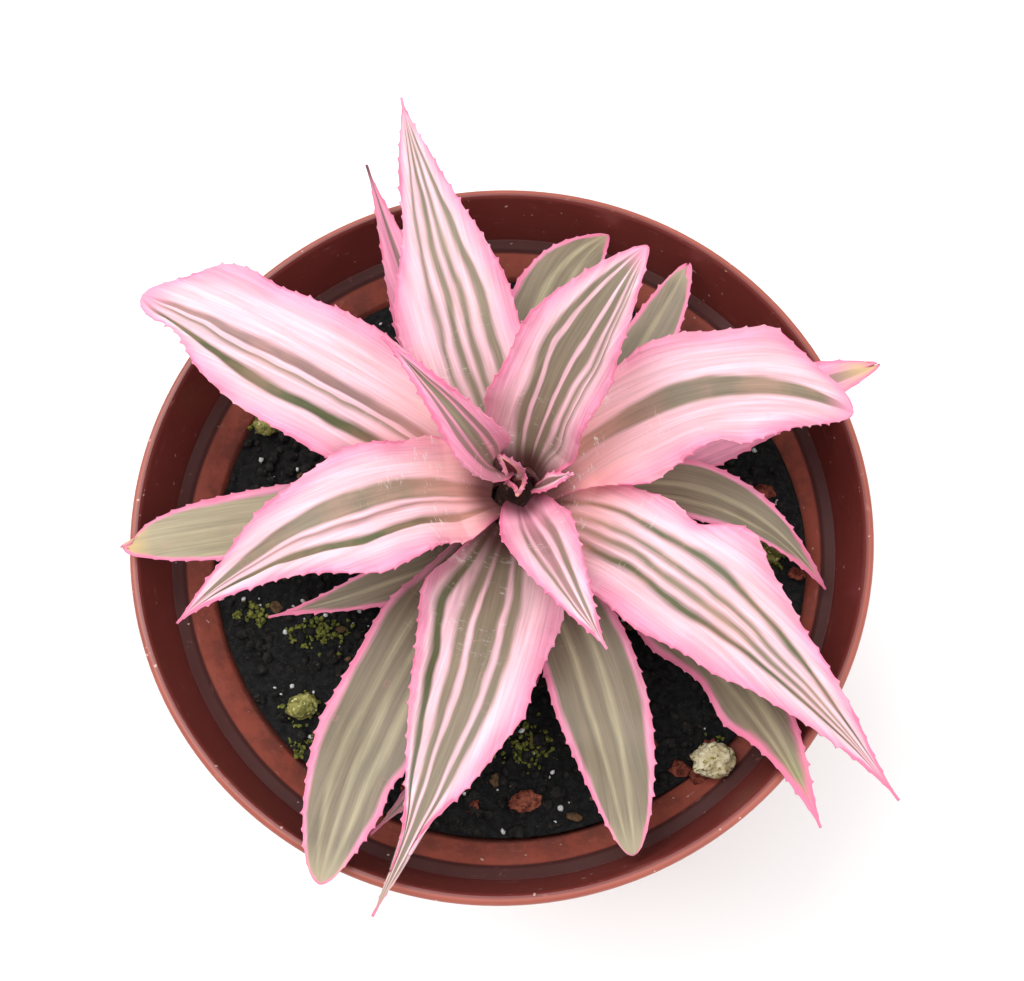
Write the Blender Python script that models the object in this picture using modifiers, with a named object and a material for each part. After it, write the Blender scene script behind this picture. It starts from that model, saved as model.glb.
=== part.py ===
"""Earth star bromeliad in a round plastic nursery pot.

The pot stands on the XY plane with its axis on Z. A short stem stands in a plain hole in the
soil, and every leaf grows from it as a blade of its own with a waved, toothed margin.
Sizes are in millimetres here and become metres when the objects are made.
"""

import math

import bmesh
import bpy
from mathutils import Vector, noise

MM = 0.001
GAP = 0.3
# Points closer than this, in metres, are one point
MERGE_DISTANCE = 0.00001

# Pot: a 12 cm nursery pot with a wide collar, a shoulder and a tapered body
RIM_RADIUS = 60.0
RIM_HEIGHT = 92.0
RIM_BEAD = 1.7
COLLAR_DEPTH = 11.8
COLLAR_INNER_RADIUS = 56.4
SHELF_RADIUS = 54.6
SHOULDER_DEPTH = 15.6
SHOULDER_RADIUS = 50.8
BASE_INNER_RADIUS = 41.0
WALL = 1.5
FLOOR = 2.4
FOOT_RING_INNER = 32.0
CENTRE_PAD_RADIUS = 12.0
DRAIN_RECESS = 1.2
DRAIN_HOLES = 8
DRAIN_HOLE_RADIUS = 3.2
DRAIN_CIRCLE_RADIUS = 24.0
DRAIN_CUT_SEGMENTS = 16
POT_SEGMENTS = 56
BEAD_ANGLES = (90, 60, 30, 0, -30, -60)
BEAD_DEPTH = 2.4
FOOT_CHAMFER_HEIGHT = 1.2
FOOT_CHAMFER = 1.0
RECESS_SLOPE = 0.6
FLOOR_CORNER = 1.5

# Soil: its top lies level with the foot of the shoulder and rises to the crown and to the right
SOIL_EDGE_DEPTH = 15.6
SOIL_MOUND = 3.2
SOIL_RIGHT_RISE = 3.4
SOIL_CLIMB = 1.9
SOIL_RISE_AZIMUTH = -22.0
SOIL_RISE_SPREAD = 50.0
SOIL_ROUGHNESS = 0.8
SOIL_RINGS = 8
SOIL_SEGMENTS = 44
SOIL_SURFACE_DROP = 0.6
SOIL_WALL_CLEARANCE = 0.4
SOIL_EDGE_THICKNESS = 0.7
SOIL_FOOT_RISE = 4
SOIL_FOOT_CORNER = 1.9
SOIL_MOUND_POWER = 1.3
SOIL_BUMP_SCALE = 0.16
SOIL_BUMP_SEED = 3.1

# Crown: the stem's axis stands a little off the pot's axis
CROWN_X = 3.0
CROWN_Y = 2.5
STEM_RADIUS = 4.5
STEM_FOOT = -27.0
STEM_HOLE_DEPTH = 12.0
STEM_SEGMENTS = 20
STEM_FOOT_CHAMFER = 1.0
# The stem's shape: the height from the rim and the share of its radius, from its foot up
STEM_SHAPE = ((-26.0, 1.0), (-13.0, 0.95), (-8.0, 0.88), (-1.0, 0.72), (4.0, 0.52), (6.4, 0.35), (7.0, 0.0))

# Leaf blades
BLADE_THICKNESS = 0.8
TIP_HALF_WIDTH = 0.45
TOOTH_PITCH = 3.6
TOOTH_HEIGHT = 0.9

# Each leaf: the height of its base, the point that its midrib passes at 0.55 of its run, its tip,
# its greatest half-width, where along it that width lies, how far the sides fold up, the height of
# the margin's waves, how blunt it ends, its turn about the midrib in degrees and its strips across.
# Heights are measured from the rim, and the points lie in the pot's frame.
LEAVES = {
    "leaf_heart_tip": dict(base=6.3, via=(8.6, -0.9, 14.8), tip=(11.6, -0.9, 17.2), half=1.5, widest=0.45,
                           fold=0.30, wave=0.1, blunt=0.0, roll=0, strips=2),
    "leaf_heart_left": dict(base=5.9, via=(-5.0, 8.8, 23.5), tip=(-14.0, 21.5, 24.0), half=4.2, widest=0.35,
                            fold=0.65, wave=0.2, blunt=0.0, roll=-18, strips=4),
    "leaf_heart_front": dict(base=4.4, via=(8.0, -17.5, 20.0), tip=(12.6, -27.4, 18.0), half=5.6, widest=0.25,
                             fold=0.30, wave=0.3, blunt=0.0, roll=0, strips=4),
    "leaf_heart_back": dict(base=4.0, via=(13.2, 14.6, 26.0), tip=(25.0, 24.5, 36.0), half=8.2, widest=0.55,
                            fold=0.25, wave=0.4, blunt=0.30, roll=0, strips=4),
    "leaf_left_front": dict(base=2.8, via=(-26.3, -3.8, 17.5), tip=(-51.0, -13.0, 5.0), half=9.0, widest=0.42,
                            fold=0.18, wave=0.7, blunt=0.05, roll=0, strips=4),
    "leaf_right": dict(base=0.8, via=(34.7, 9.8, 16.3), tip=(56.8, 6.2, 9.0), half=9.9, widest=0.55,
                       fold=0.16, wave=1.2, blunt=0.45, roll=0, strips=4),
    "leaf_left_back": dict(base=0.8, via=(-28.9, 22.1, 19.3), tip=(-51.5, 37.4, 16.5), half=10.3, widest=0.58,
                           fold=0.12, wave=1.0, blunt=0.50, roll=0, strips=4),
    "leaf_back": dict(base=-1.2, via=(-4.4, 37.4, 14.0), tip=(-7.7, 67.5, 17.6), half=9.8, widest=0.46,
                      fold=0.14, wave=0.6, blunt=0.0, roll=0, strips=4),
    "leaf_right_front": dict(base=-1.2, via=(30.7, -22.2, 11.0), tip=(52.5, -52.0, 3.5), half=10.8, widest=0.45,
                             fold=0.14, wave=1.2, blunt=0.0, roll=0, strips=4),
    "leaf_front": dict(base=-4.2, via=(-10.4, -34.5, 6.5), tip=(-25.0, -58.7, 2.8), half=9.8, widest=0.36,
                       fold=0.16, wave=1.1, blunt=0.0, roll=0, strips=4),
    "leaf_low_front_left": dict(base=-6.1, via=(-21.6, -29.6, 0.0), tip=(-32.2, -53.5, 2.8), half=8.0, widest=0.62,
                                fold=0.10, wave=0.4, blunt=0.55, roll=0, strips=2),
    "leaf_low_front": dict(base=-7.2, via=(11.9, -31.0, -1.8), tip=(13.5, -55.0, -2.4), half=7.4, widest=0.55,
                           fold=0.10, wave=0.8, blunt=0.55, roll=0, strips=2),
    "leaf_low_left": dict(base=-7.4, via=(-33.0, 3.7, -2.5), tip=(-59.1, 1.0, 2.6), half=6.0, widest=0.60,
                          fold=0.10, wave=0.3, blunt=0.85, roll=0, strips=2),
    "leaf_low_right": dict(base=-6.8, via=(36.0, -1.6, -2.6), tip=(51.8, -17.4, -9.0), half=5.0, widest=0.50,
                           fold=0.12, wave=0.3, blunt=0.15, roll=0, strips=2),
    "leaf_low_back": dict(base=-6.0, via=(12.6, 35.0, 0.0), tip=(25.4, 50.2, -4.5), half=7.0, widest=0.62,
                          fold=0.10, wave=0.5, blunt=0.35, roll=0, strips=2),
    "leaf_low_right_back": dict(base=-8.9, via=(33.0, 11.5, -5.0), tip=(64.0, 16.0, 3.4), half=7.8, widest=0.60,
                                fold=0.08, wave=0.6, blunt=0.45, roll=0, strips=2),
    "leaf_low_right_front": dict(base=-9.4, via=(31.4, -26.0, -5.2), tip=(40.1, -54.4, 5.4), half=6.2, widest=0.62,
                                 fold=0.10, wave=0.8, blunt=0.05, roll=0, strips=2),
    "leaf_low_back_right": dict(base=-10.6, via=(26.0, 25.6, -7.8), tip=(38.2, 42.0, -3.6), half=4.8, widest=0.60,
                                fold=0.12, wave=0.2, blunt=0.60, roll=0, strips=2),
    "leaf_low_back_left": dict(base=-8.6, via=(-8.0, 33.0, -6.0), tip=(-15.5, 63.5, 6.0), half=5.4, widest=0.60,
                               fold=0.25, wave=0.2, blunt=0.0, roll=0, strips=2),
    "leaf_small_left": dict(base=-10.4, via=(-18.5, -7.0, -9.2), tip=(-40.0, -10.5, -9.0), half=4.0, widest=0.55,
                            fold=0.12, wave=0.2, blunt=0.0, roll=0, strips=2),
    "leaf_small_front": dict(base=-11.4, via=(-2.0, -24.0, -10.0), tip=(-26.0, -47.0, -9.0), half=5.4, widest=0.62,
                             fold=0.10, wave=0.3, blunt=0.0, roll=0, strips=2),
}
VIA_AT = 0.55
BASE_HALF_SHARE = 0.34
LARGEST_BASE_HALF = 2.4
WIDENING_POWER = 1.0
FLAT_STEM_OFFSET = 1.0
STEEP_STEM_OFFSET = 1.0
# The base clasps the stem, the blade arches between its folded sides, and the margin waves
CLASP = 0.5
CLASP_FADE = 7
FOLD_POWER = 1.6
FOLD_NARROWING = 0.12
ARCH = 0.06
WAVE_COUNT = 3.2

# Grit on the soil: where each lump lies and its size
GRIT = {
    "pumice_right_front": dict(at=(29.1, -42.0), size=(3.4, 2.8, 2.2)),
    "pumice_right": dict(at=(45.0, -8.4), size=(2.2, 2.6, 1.7)),
    "pumice_left": dict(at=(-39.5, 26.0), size=(2.3, 2.0, 1.6)),
    "pumice_left_front": dict(at=(-36.4, -25.0), size=(2.6, 2.1, 1.6)),
    "bark_chip_front": dict(at=(-1.5, -44.5), size=(2.6, 1.6, 1.0)),
}
GRIT_LIFT = 0.55

TERRACOTTA = (0.32, 0.075, 0.05, 1.0)
SOIL_BLACK = (0.012, 0.012, 0.011, 1.0)
LEAF_PINK = (0.85, 0.36, 0.45, 1.0)
LEAF_OLIVE = (0.26, 0.24, 0.16, 1.0)
PUMICE = (0.52, 0.48, 0.34, 1.0)
BARK = (0.22, 0.09, 0.05, 1.0)
STEM_TAN = (0.30, 0.20, 0.12, 1.0)
LOW_LEAF_PREFIXES = ("leaf_low", "leaf_small")


def clear_scene():
    """Removes whatever objects the file starts with."""
    for obj in list(bpy.data.objects):
        bpy.data.objects.remove(obj)


def collection_named(name):
    """A new collection in the scene."""
    made = bpy.data.collections.new(name)
    bpy.context.scene.collection.children.link(made)
    return made


def material(name, colour, roughness):
    """A Principled material of one colour."""
    made = bpy.data.materials.new(name)
    made.use_nodes = True
    shader = made.node_tree.nodes["Principled BSDF"]
    shader.inputs["Base Color"].default_value = colour
    shader.inputs["Roughness"].default_value = roughness
    shader.inputs["Metallic"].default_value = 0.0
    return made


def object_from(mesh, name, finish, collection):
    """An object for the mesh, in the collection, with its finish."""
    made = bpy.data.objects.new(name, mesh)
    made.data.materials.append(finish)
    collection.objects.link(made)
    return made


def turned(name, profile, segments, finish, collection):
    """A closed profile of (radius, height) turned about Z. It runs down its outer side."""
    bm = bmesh.new()
    points = [bm.verts.new((radius * MM, 0.0, height * MM)) for radius, height in profile]
    for here, after in zip(points, points[1:]):
        bm.edges.new((here, after))
    if profile[0][0] > 0:
        bm.edges.new((points[-1], points[0]))
    mesh = bpy.data.meshes.new(name)
    bm.to_mesh(mesh)
    bm.free()
    made = object_from(mesh, name, finish, collection)
    screw = made.modifiers.new("turn", "SCREW")
    screw.steps = segments
    screw.render_steps = segments
    screw.use_merge_vertices = True
    screw.merge_threshold = MERGE_DISTANCE
    return made


def applied(obj):
    """The object with its modifiers made into its mesh, facing out."""
    graph = bpy.context.evaluated_depsgraph_get()
    mesh = bpy.data.meshes.new_from_object(obj.evaluated_get(graph))
    obj.modifiers.clear()
    obj.data = mesh
    bm = bmesh.new()
    bm.from_mesh(mesh)
    bmesh.ops.remove_doubles(bm, verts=bm.verts, dist=MERGE_DISTANCE)
    bmesh.ops.recalc_face_normals(bm, faces=bm.faces)
    bm.to_mesh(mesh)
    bm.free()
    return obj


def cutter(name, radius, height, place, collection):
    """An upright cylinder that cuts, hidden from the render."""
    bm = bmesh.new()
    bmesh.ops.create_cone(bm, cap_ends=True, segments=DRAIN_CUT_SEGMENTS, radius1=radius * MM, radius2=radius * MM,
                          depth=height * MM)
    mesh = bpy.data.meshes.new(name)
    bm.to_mesh(mesh)
    bm.free()
    made = bpy.data.objects.new(name, mesh)
    made.location = Vector(place) * MM
    made.hide_render = True
    made.display_type = "WIRE"
    collection.objects.link(made)
    return made


def body_inner_radius(height):
    """The radius of the pot's inner wall below the shoulder, at a height above the base."""
    top = RIM_HEIGHT - SHOULDER_DEPTH
    share = (height - FLOOR) / (top - FLOOR)
    return BASE_INNER_RADIUS + (SHOULDER_RADIUS - BASE_INNER_RADIUS) * share


def pot(finish, parts, cutters):
    """The pot: rim bead, collar, shelf, shoulder, tapered body, foot ring and drained floor."""
    shoulder_z = RIM_HEIGHT - SHOULDER_DEPTH
    ledge_z = RIM_HEIGHT - COLLAR_DEPTH
    bead = [
        (RIM_RADIUS + RIM_BEAD / 2 * (math.cos(angle) - 1), RIM_HEIGHT - RIM_BEAD / 2 * (1 - math.sin(angle)))
        for angle in (math.radians(a) for a in BEAD_ANGLES)
    ]
    outside = [
        (RIM_RADIUS - RIM_BEAD, RIM_HEIGHT - BEAD_DEPTH),
        (COLLAR_INNER_RADIUS + WALL, ledge_z - 1.2),
        (SHELF_RADIUS + WALL - 0.2, ledge_z - 2.2),
        (SHOULDER_RADIUS + WALL, shoulder_z - WALL),
        (BASE_INNER_RADIUS + WALL, FOOT_CHAMFER_HEIGHT),
        (BASE_INNER_RADIUS + WALL - FOOT_CHAMFER, 0.0),
    ]
    under = [
        (FOOT_RING_INNER, 0.0),
        (FOOT_RING_INNER - RECESS_SLOPE, DRAIN_RECESS),
        (CENTRE_PAD_RADIUS + RECESS_SLOPE, DRAIN_RECESS),
        (CENTRE_PAD_RADIUS, 0.0),
        (0.0, 0.0),
    ]
    inside = [
        (RIM_RADIUS - RIM_BEAD, RIM_HEIGHT - 0.5),
        (RIM_RADIUS - RIM_BEAD + 0.4, RIM_HEIGHT - 0.1),
    ]
    # The inner wall runs from the floor's centre up to the rim, closing the profile at the axis
    wall = [
        (0.0, FLOOR),
        (BASE_INNER_RADIUS - FLOOR_CORNER, FLOOR),
        (BASE_INNER_RADIUS, FLOOR + FLOOR_CORNER),
        (SHOULDER_RADIUS, shoulder_z),
        (SHELF_RADIUS - 0.2, ledge_z - 0.9),
        (SHELF_RADIUS + 0.1, ledge_z - 0.2),
        (COLLAR_INNER_RADIUS, ledge_z),
        (COLLAR_INNER_RADIUS + 0.15, ledge_z + 0.5),
    ]
    profile = wall + inside + bead + outside + under
    made = turned("pot", profile, POT_SEGMENTS, finish, parts)
    applied(made)
    for k in range(DRAIN_HOLES):
        angle = 2 * math.pi * k / DRAIN_HOLES
        place = (DRAIN_CIRCLE_RADIUS * math.cos(angle), DRAIN_CIRCLE_RADIUS * math.sin(angle), FLOOR / 2)
        cut = made.modifiers.new(f"drain_{k}", "BOOLEAN")
        cut.operation = "DIFFERENCE"
        cut.object = cutter(f"drain_cutter_{k}", DRAIN_HOLE_RADIUS, 4 * FLOOR, place, cutters)
    return made


def right_rise(x, y):
    """How far the soil climbs the shoulder at this side: 1 at the right and front right, 0 elsewhere."""
    turn = math.degrees(math.atan2(y, x)) - SOIL_RISE_AZIMUTH
    return max(0.0, math.cos(math.radians(min(90.0, abs(turn) * 90 / SOIL_RISE_SPREAD))))


def soil_height(x, y):
    """The soil's height above the base at a point of its top."""
    reach = min(1.0, math.hypot(x, y) / SHOULDER_RADIUS)
    mound = SOIL_MOUND * (1 - reach) ** SOIL_MOUND_POWER
    right = SOIL_RIGHT_RISE * right_rise(x, y) * reach ** 2
    at = Vector((x * SOIL_BUMP_SCALE, y * SOIL_BUMP_SCALE, SOIL_BUMP_SEED))
    bumps = SOIL_ROUGHNESS * noise.noise(at) * min(1.0, 8 * (1 - reach))
    return RIM_HEIGHT - SOIL_EDGE_DEPTH - SOIL_SURFACE_DROP + mound + right + bumps


def soil(finish, parts):
    """The soil: it fills the pot to the shoulder, with a plain hole where the stem stands."""
    top = RIM_HEIGHT - SOIL_EDGE_DEPTH - SOIL_SURFACE_DROP
    hole = STEM_RADIUS + GAP
    edge = SHOULDER_RADIUS - SOIL_WALL_CLEARANCE - GAP
    radii = [hole + (edge - hole) * k / SOIL_RINGS for k in range(SOIL_RINGS + 1)]
    low = FLOOR + GAP
    profile = [(0.0, top - STEM_HOLE_DEPTH), (hole, top - STEM_HOLE_DEPTH)]
    profile += [(radius, top) for radius in radii]
    profile += [
        (edge, top - SOIL_EDGE_THICKNESS),
        (body_inner_radius(low + SOIL_FOOT_RISE) - GAP - 0.2, low + SOIL_FOOT_RISE),
        (BASE_INNER_RADIUS - SOIL_FOOT_CORNER - GAP, low),
        (0.0, low),
    ]
    made = applied(turned("soil", profile, SOIL_SEGMENTS, finish, parts))
    for vertex in made.data.vertices:
        x, y, z = (c / MM for c in vertex.co)
        reach = math.hypot(x, y)
        if z > top - 0.1:
            vertex.co.z = soil_height(x, y) * MM
        if z > top - 0.1 and reach > edge - 0.1:
            # The soil's edge lies on the sloped shoulder where it climbs
            widen = 1 + SOIL_CLIMB * right_rise(x, y) / edge
            vertex.co.x *= widen
            vertex.co.y *= widen
        if z > top - STEM_HOLE_DEPTH - 1:
            inner = min(1.0, max(0.0, (edge - reach) / (edge - hole)))
            vertex.co.x += CROWN_X * inner * MM
            vertex.co.y += CROWN_Y * inner * MM
    return made


def stem(finish, parts):
    """The short stem that every leaf grows from."""
    foot = RIM_HEIGHT + STEM_FOOT + GAP
    profile = [(STEM_RADIUS * share, RIM_HEIGHT + height) for height, share in reversed(STEM_SHAPE)]
    profile += [(STEM_RADIUS - STEM_FOOT_CHAMFER, foot), (0.0, foot)]
    made = applied(turned("stem", profile, STEM_SEGMENTS, finish, parts))
    made.location = Vector((CROWN_X, CROWN_Y, 0.0)) * MM
    return made


def stem_radius_at(height):
    """The stem's radius at a height measured from the rim."""
    for (low, low_share), (high, high_share) in zip(STEM_SHAPE, STEM_SHAPE[1:]):
        if height <= high:
            share = (height - low) / (high - low)
            return STEM_RADIUS * (low_share + (high_share - low_share) * share)
    return 0.0


def midrib(leaf):
    """A function of the share along the leaf that gives the midrib's point, in millimetres."""
    via, tip = Vector(leaf["via"]), Vector(leaf["tip"])
    run = Vector((via.x - CROWN_X, via.y - CROWN_Y, 0.0))
    # A steep leaf starts farther out, so that its lower face clears the stem
    steep = (Vector((run.x, run.y, via.z - leaf["base"])).normalized()).z
    offset = FLAT_STEM_OFFSET + STEEP_STEM_OFFSET * max(0.0, steep)
    reach = stem_radius_at(leaf["base"]) + offset
    start = Vector((CROWN_X, CROWN_Y, leaf["base"])) + run.normalized() * reach

    def point(t):
        first = (t - VIA_AT) * (t - 1) / VIA_AT
        middle = t * (t - 1) / (VIA_AT * (VIA_AT - 1))
        last = t * (t - VIA_AT) / (1 - VIA_AT)
        return start * first + via * middle + tip * last + Vector((0.0, 0.0, RIM_HEIGHT))

    return point


def half_width(leaf, t):
    """The blade's half-width at a share along it, in millimetres, without its teeth."""
    base = min(LARGEST_BASE_HALF, leaf["half"] * BASE_HALF_SHARE)
    if t < leaf["widest"]:
        rise = math.sin(math.pi / 2 * t / leaf["widest"]) ** WIDENING_POWER
        return base + (leaf["half"] - base) * rise
    past = (t - leaf["widest"]) / (1 - leaf["widest"])
    pointed = (1 - past) ** 0.5 * (1 - past ** 1.6) ** 0.8 if past < 1 else 0.0
    rounded = math.sqrt(max(0.0, 1 - past ** 2.6))
    end = leaf["half"] * (pointed * (1 - leaf["blunt"]) + rounded * leaf["blunt"])
    return max(TIP_HALF_WIDTH, end)


def leaf_point(leaf, rib, t, across, teeth):
    """A point of the blade's middle surface: t runs from base to tip, across from -1 to 1."""
    here = rib(t)
    along = (rib(min(1.0, t + 0.01)) - rib(max(0.0, t - 0.01))).normalized()
    side = Vector((0.0, 0.0, 1.0)).cross(along).normalized()
    up = along.cross(side)
    turn = math.radians(leaf["roll"]) * math.sin(math.pi * t)
    side, up = side * math.cos(turn) + up * math.sin(turn), up * math.cos(turn) - side * math.sin(turn)
    half = half_width(leaf, t) + teeth * TOOTH_HEIGHT * min(1.0, 6 * t) * min(1.0, 8 * (1 - t))
    clasp = CLASP * max(0.0, 1 - CLASP_FADE * t)
    fold = (leaf["fold"] + clasp) * half * abs(across) ** FOLD_POWER
    arch = -ARCH * half * (1 - across * across)
    phase = 1.7 * len(leaf["name"]) + (1.3 if across > 0 else 0.0)
    swing = math.sin(2 * math.pi * WAVE_COUNT * t + phase) * min(1.0, 4 * t) * min(1.0, 3 * (1 - t))
    ripple = leaf["wave"] * swing * abs(across) ** 2
    return here + side * (half * across * (1 - FOLD_NARROWING * fold / max(half, 0.1))) + up * (fold + arch + ripple)


def blade(name, leaf, finish, parts):
    """One leaf: a grid bent along its midrib, with a station at each tooth and each notch."""
    leaf["name"] = name
    rib = midrib(leaf)
    length = sum((rib((k + 1) / 40) - rib(k / 40)).length for k in range(40))
    stations = max(10, 2 * round(length / TOOTH_PITCH))
    bm = bmesh.new()
    bmesh.ops.create_grid(bm, x_segments=stations, y_segments=leaf["strips"], size=1.0)
    for vertex in bm.verts:
        t = (vertex.co.x + 1) / 2
        across = vertex.co.y
        tooth = abs(across) > 0.99 and round(t * stations) % 2 == 1
        # A tooth leans towards the tip
        lean = 0.35 / stations if tooth else 0.0
        vertex.co = leaf_point(leaf, rib, min(1.0, t + lean), across, 1.0 if tooth else 0.0) * MM
    bmesh.ops.triangulate(bm, faces=bm.faces, quad_method="FIXED")
    mesh = bpy.data.meshes.new(name)
    bm.to_mesh(mesh)
    bm.free()
    made = object_from(mesh, name, finish, parts)
    thick = made.modifiers.new("blade thickness", "SOLIDIFY")
    thick.thickness = BLADE_THICKNESS * MM
    thick.offset = 0.0
    return made


def lump(name, grit, finish, parts):
    """A lump of pumice or bark lying on the soil: a pitted, flattened ball with a flat foot."""
    bm = bmesh.new()
    bmesh.ops.create_icosphere(bm, subdivisions=2, radius=1.0)
    seed = sum(map(ord, name)) * 0.37
    x, y = grit["at"]
    wide, deep = grit["size"][0], grit["size"][1]
    floor = max(soil_height(x + dx, y + dy) for dx in (-wide, 0, wide) for dy in (-deep, 0, deep))
    if math.hypot(x, y) + wide > SHOULDER_RADIUS:
        floor = RIM_HEIGHT - COLLAR_DEPTH - 0.9
    for vertex in bm.verts:
        swell = 1 + 0.22 * noise.noise(vertex.co * 1.9 + Vector((seed, 0.0, 0.0)))
        place = Vector(vertex.co[i] * grit["size"][i] * swell for i in range(3))
        place.z = max(place.z, -GRIT_LIFT * grit["size"][2])
        place += Vector((x, y, floor + GAP + GRIT_LIFT * grit["size"][2]))
        vertex.co = place * MM
    mesh = bpy.data.meshes.new(name)
    bm.to_mesh(mesh)
    bm.free()
    return object_from(mesh, name, finish, parts)


def main():
    """Builds the pot, soil, stem, leaves and grit."""
    clear_scene()
    parts = collection_named("earth_star_bromeliad")
    cutters = collection_named("cutters")
    plastic = material("terracotta_plastic", TERRACOTTA, 0.45)
    earth = material("soil", SOIL_BLACK, 0.95)
    young = material("pink_leaf", LEAF_PINK, 0.45)
    old = material("olive_leaf", LEAF_OLIVE, 0.5)
    pumice = material("pumice", PUMICE, 0.9)
    bark = material("bark", BARK, 0.9)
    tan = material("stem", STEM_TAN, 0.8)
    pot(plastic, parts, cutters)
    soil(earth, parts)
    stem(tan, parts)
    for name, leaf in LEAVES.items():
        blade(name, leaf, old if name.startswith(LOW_LEAF_PREFIXES) else young, parts)
    for name, grit in GRIT.items():
        lump(name, grit, bark if name.startswith("bark") else pumice, parts)


main()
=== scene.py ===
"""Earth star bromeliad in a round plastic nursery pot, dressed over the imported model.

Every leaf is rebuilt as a fine blade on the form of its solid, with hooked teeth, a waved margin and
lengthwise stripes. The pot, the soil, the stem and the lumps get fine surfaces too. Lengths in the
forms are millimetres, and heights are measured from the pot's rim unless the text says otherwise.
"""

import logging
import math
from dataclasses import dataclass
from enum import Enum
from typing import Sequence

import bmesh
import bpy
import numpy as np
from mathutils import Matrix, Vector, noise

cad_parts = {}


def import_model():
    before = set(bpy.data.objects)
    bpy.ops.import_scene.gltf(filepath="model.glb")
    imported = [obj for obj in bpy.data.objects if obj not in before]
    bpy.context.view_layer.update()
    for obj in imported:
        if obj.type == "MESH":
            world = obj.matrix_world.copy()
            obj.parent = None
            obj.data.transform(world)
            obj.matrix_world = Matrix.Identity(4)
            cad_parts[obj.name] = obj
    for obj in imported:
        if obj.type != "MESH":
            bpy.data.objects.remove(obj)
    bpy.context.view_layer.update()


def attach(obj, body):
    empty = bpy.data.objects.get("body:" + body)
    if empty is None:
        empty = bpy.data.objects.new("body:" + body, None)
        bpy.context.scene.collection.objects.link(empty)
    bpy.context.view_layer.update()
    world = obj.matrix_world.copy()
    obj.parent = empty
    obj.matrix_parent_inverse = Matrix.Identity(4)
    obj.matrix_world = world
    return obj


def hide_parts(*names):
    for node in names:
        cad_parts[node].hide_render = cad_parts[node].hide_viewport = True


MM = 0.001
Colour = tuple[float, float, float, float]
Place = tuple[float, float, float]
LOG = logging.getLogger("earth_star")

RIM_HEIGHT = 92.0
GAP = 0.3
CROWN = (3.0, 2.5)
SHOULDER_RADIUS = 50.8
SHOULDER_DEPTH = 15.6
COLLAR_DEPTH = 11.8
SOIL_TOP = RIM_HEIGHT - SHOULDER_DEPTH - 0.6
STEM_SHAPE = ((-26.0, 4.5), (-13.0, 4.28), (-8.0, 3.96), (-1.0, 3.24), (4.0, 2.34), (6.4, 1.58), (7.0, 0.0))
FLAT_STEM_OFFSET = 1.0
STEEP_STEM_OFFSET = 1.0
VIA_AT = 0.55
MERGE_DISTANCE = 0.00001


def srgb(red: int, green: int, blue: int) -> Colour:
    """Turns screen values of 0 to 255 into a linear colour.

    Args:
        red: The red value.
        green: The green value.
        blue: The blue value.

    Returns:
        The linear colour with full alpha.
    """
    linear = []
    for value in (red, green, blue):
        share = value / 255
        linear.append(share / 12.92 if share <= 0.04045 else ((share + 0.055) / 1.055) ** 2.4)
    return (linear[0], linear[1], linear[2], 1.0)


class Tone(Enum):
    """The leaf colours seen in the photograph."""

    EDGE = srgb(230, 124, 158)
    PINK = srgb(238, 152, 182)
    BLUSH = srgb(243, 193, 204)
    SALMON = srgb(246, 172, 160)
    OLIVE = srgb(132, 118, 98)
    OLIVE_PALE = srgb(166, 154, 126)
    OLIVE_DARK = srgb(86, 88, 56)
    MAUVE = srgb(150, 116, 112)
    MAROON = srgb(92, 40, 44)
    STRAW = srgb(206, 176, 120)
    LEAF_GREEN = srgb(150, 158, 96)


class Slot(Enum):
    """The record's material slots."""

    PLASTIC = "terracotta_plastic"
    SOIL = "soil"
    STEM = "stem"
    PINK_LEAF = "pink_leaf"
    OLIVE_LEAF = "olive_leaf"
    PUMICE = "pumice"
    BARK = "bark"


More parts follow.
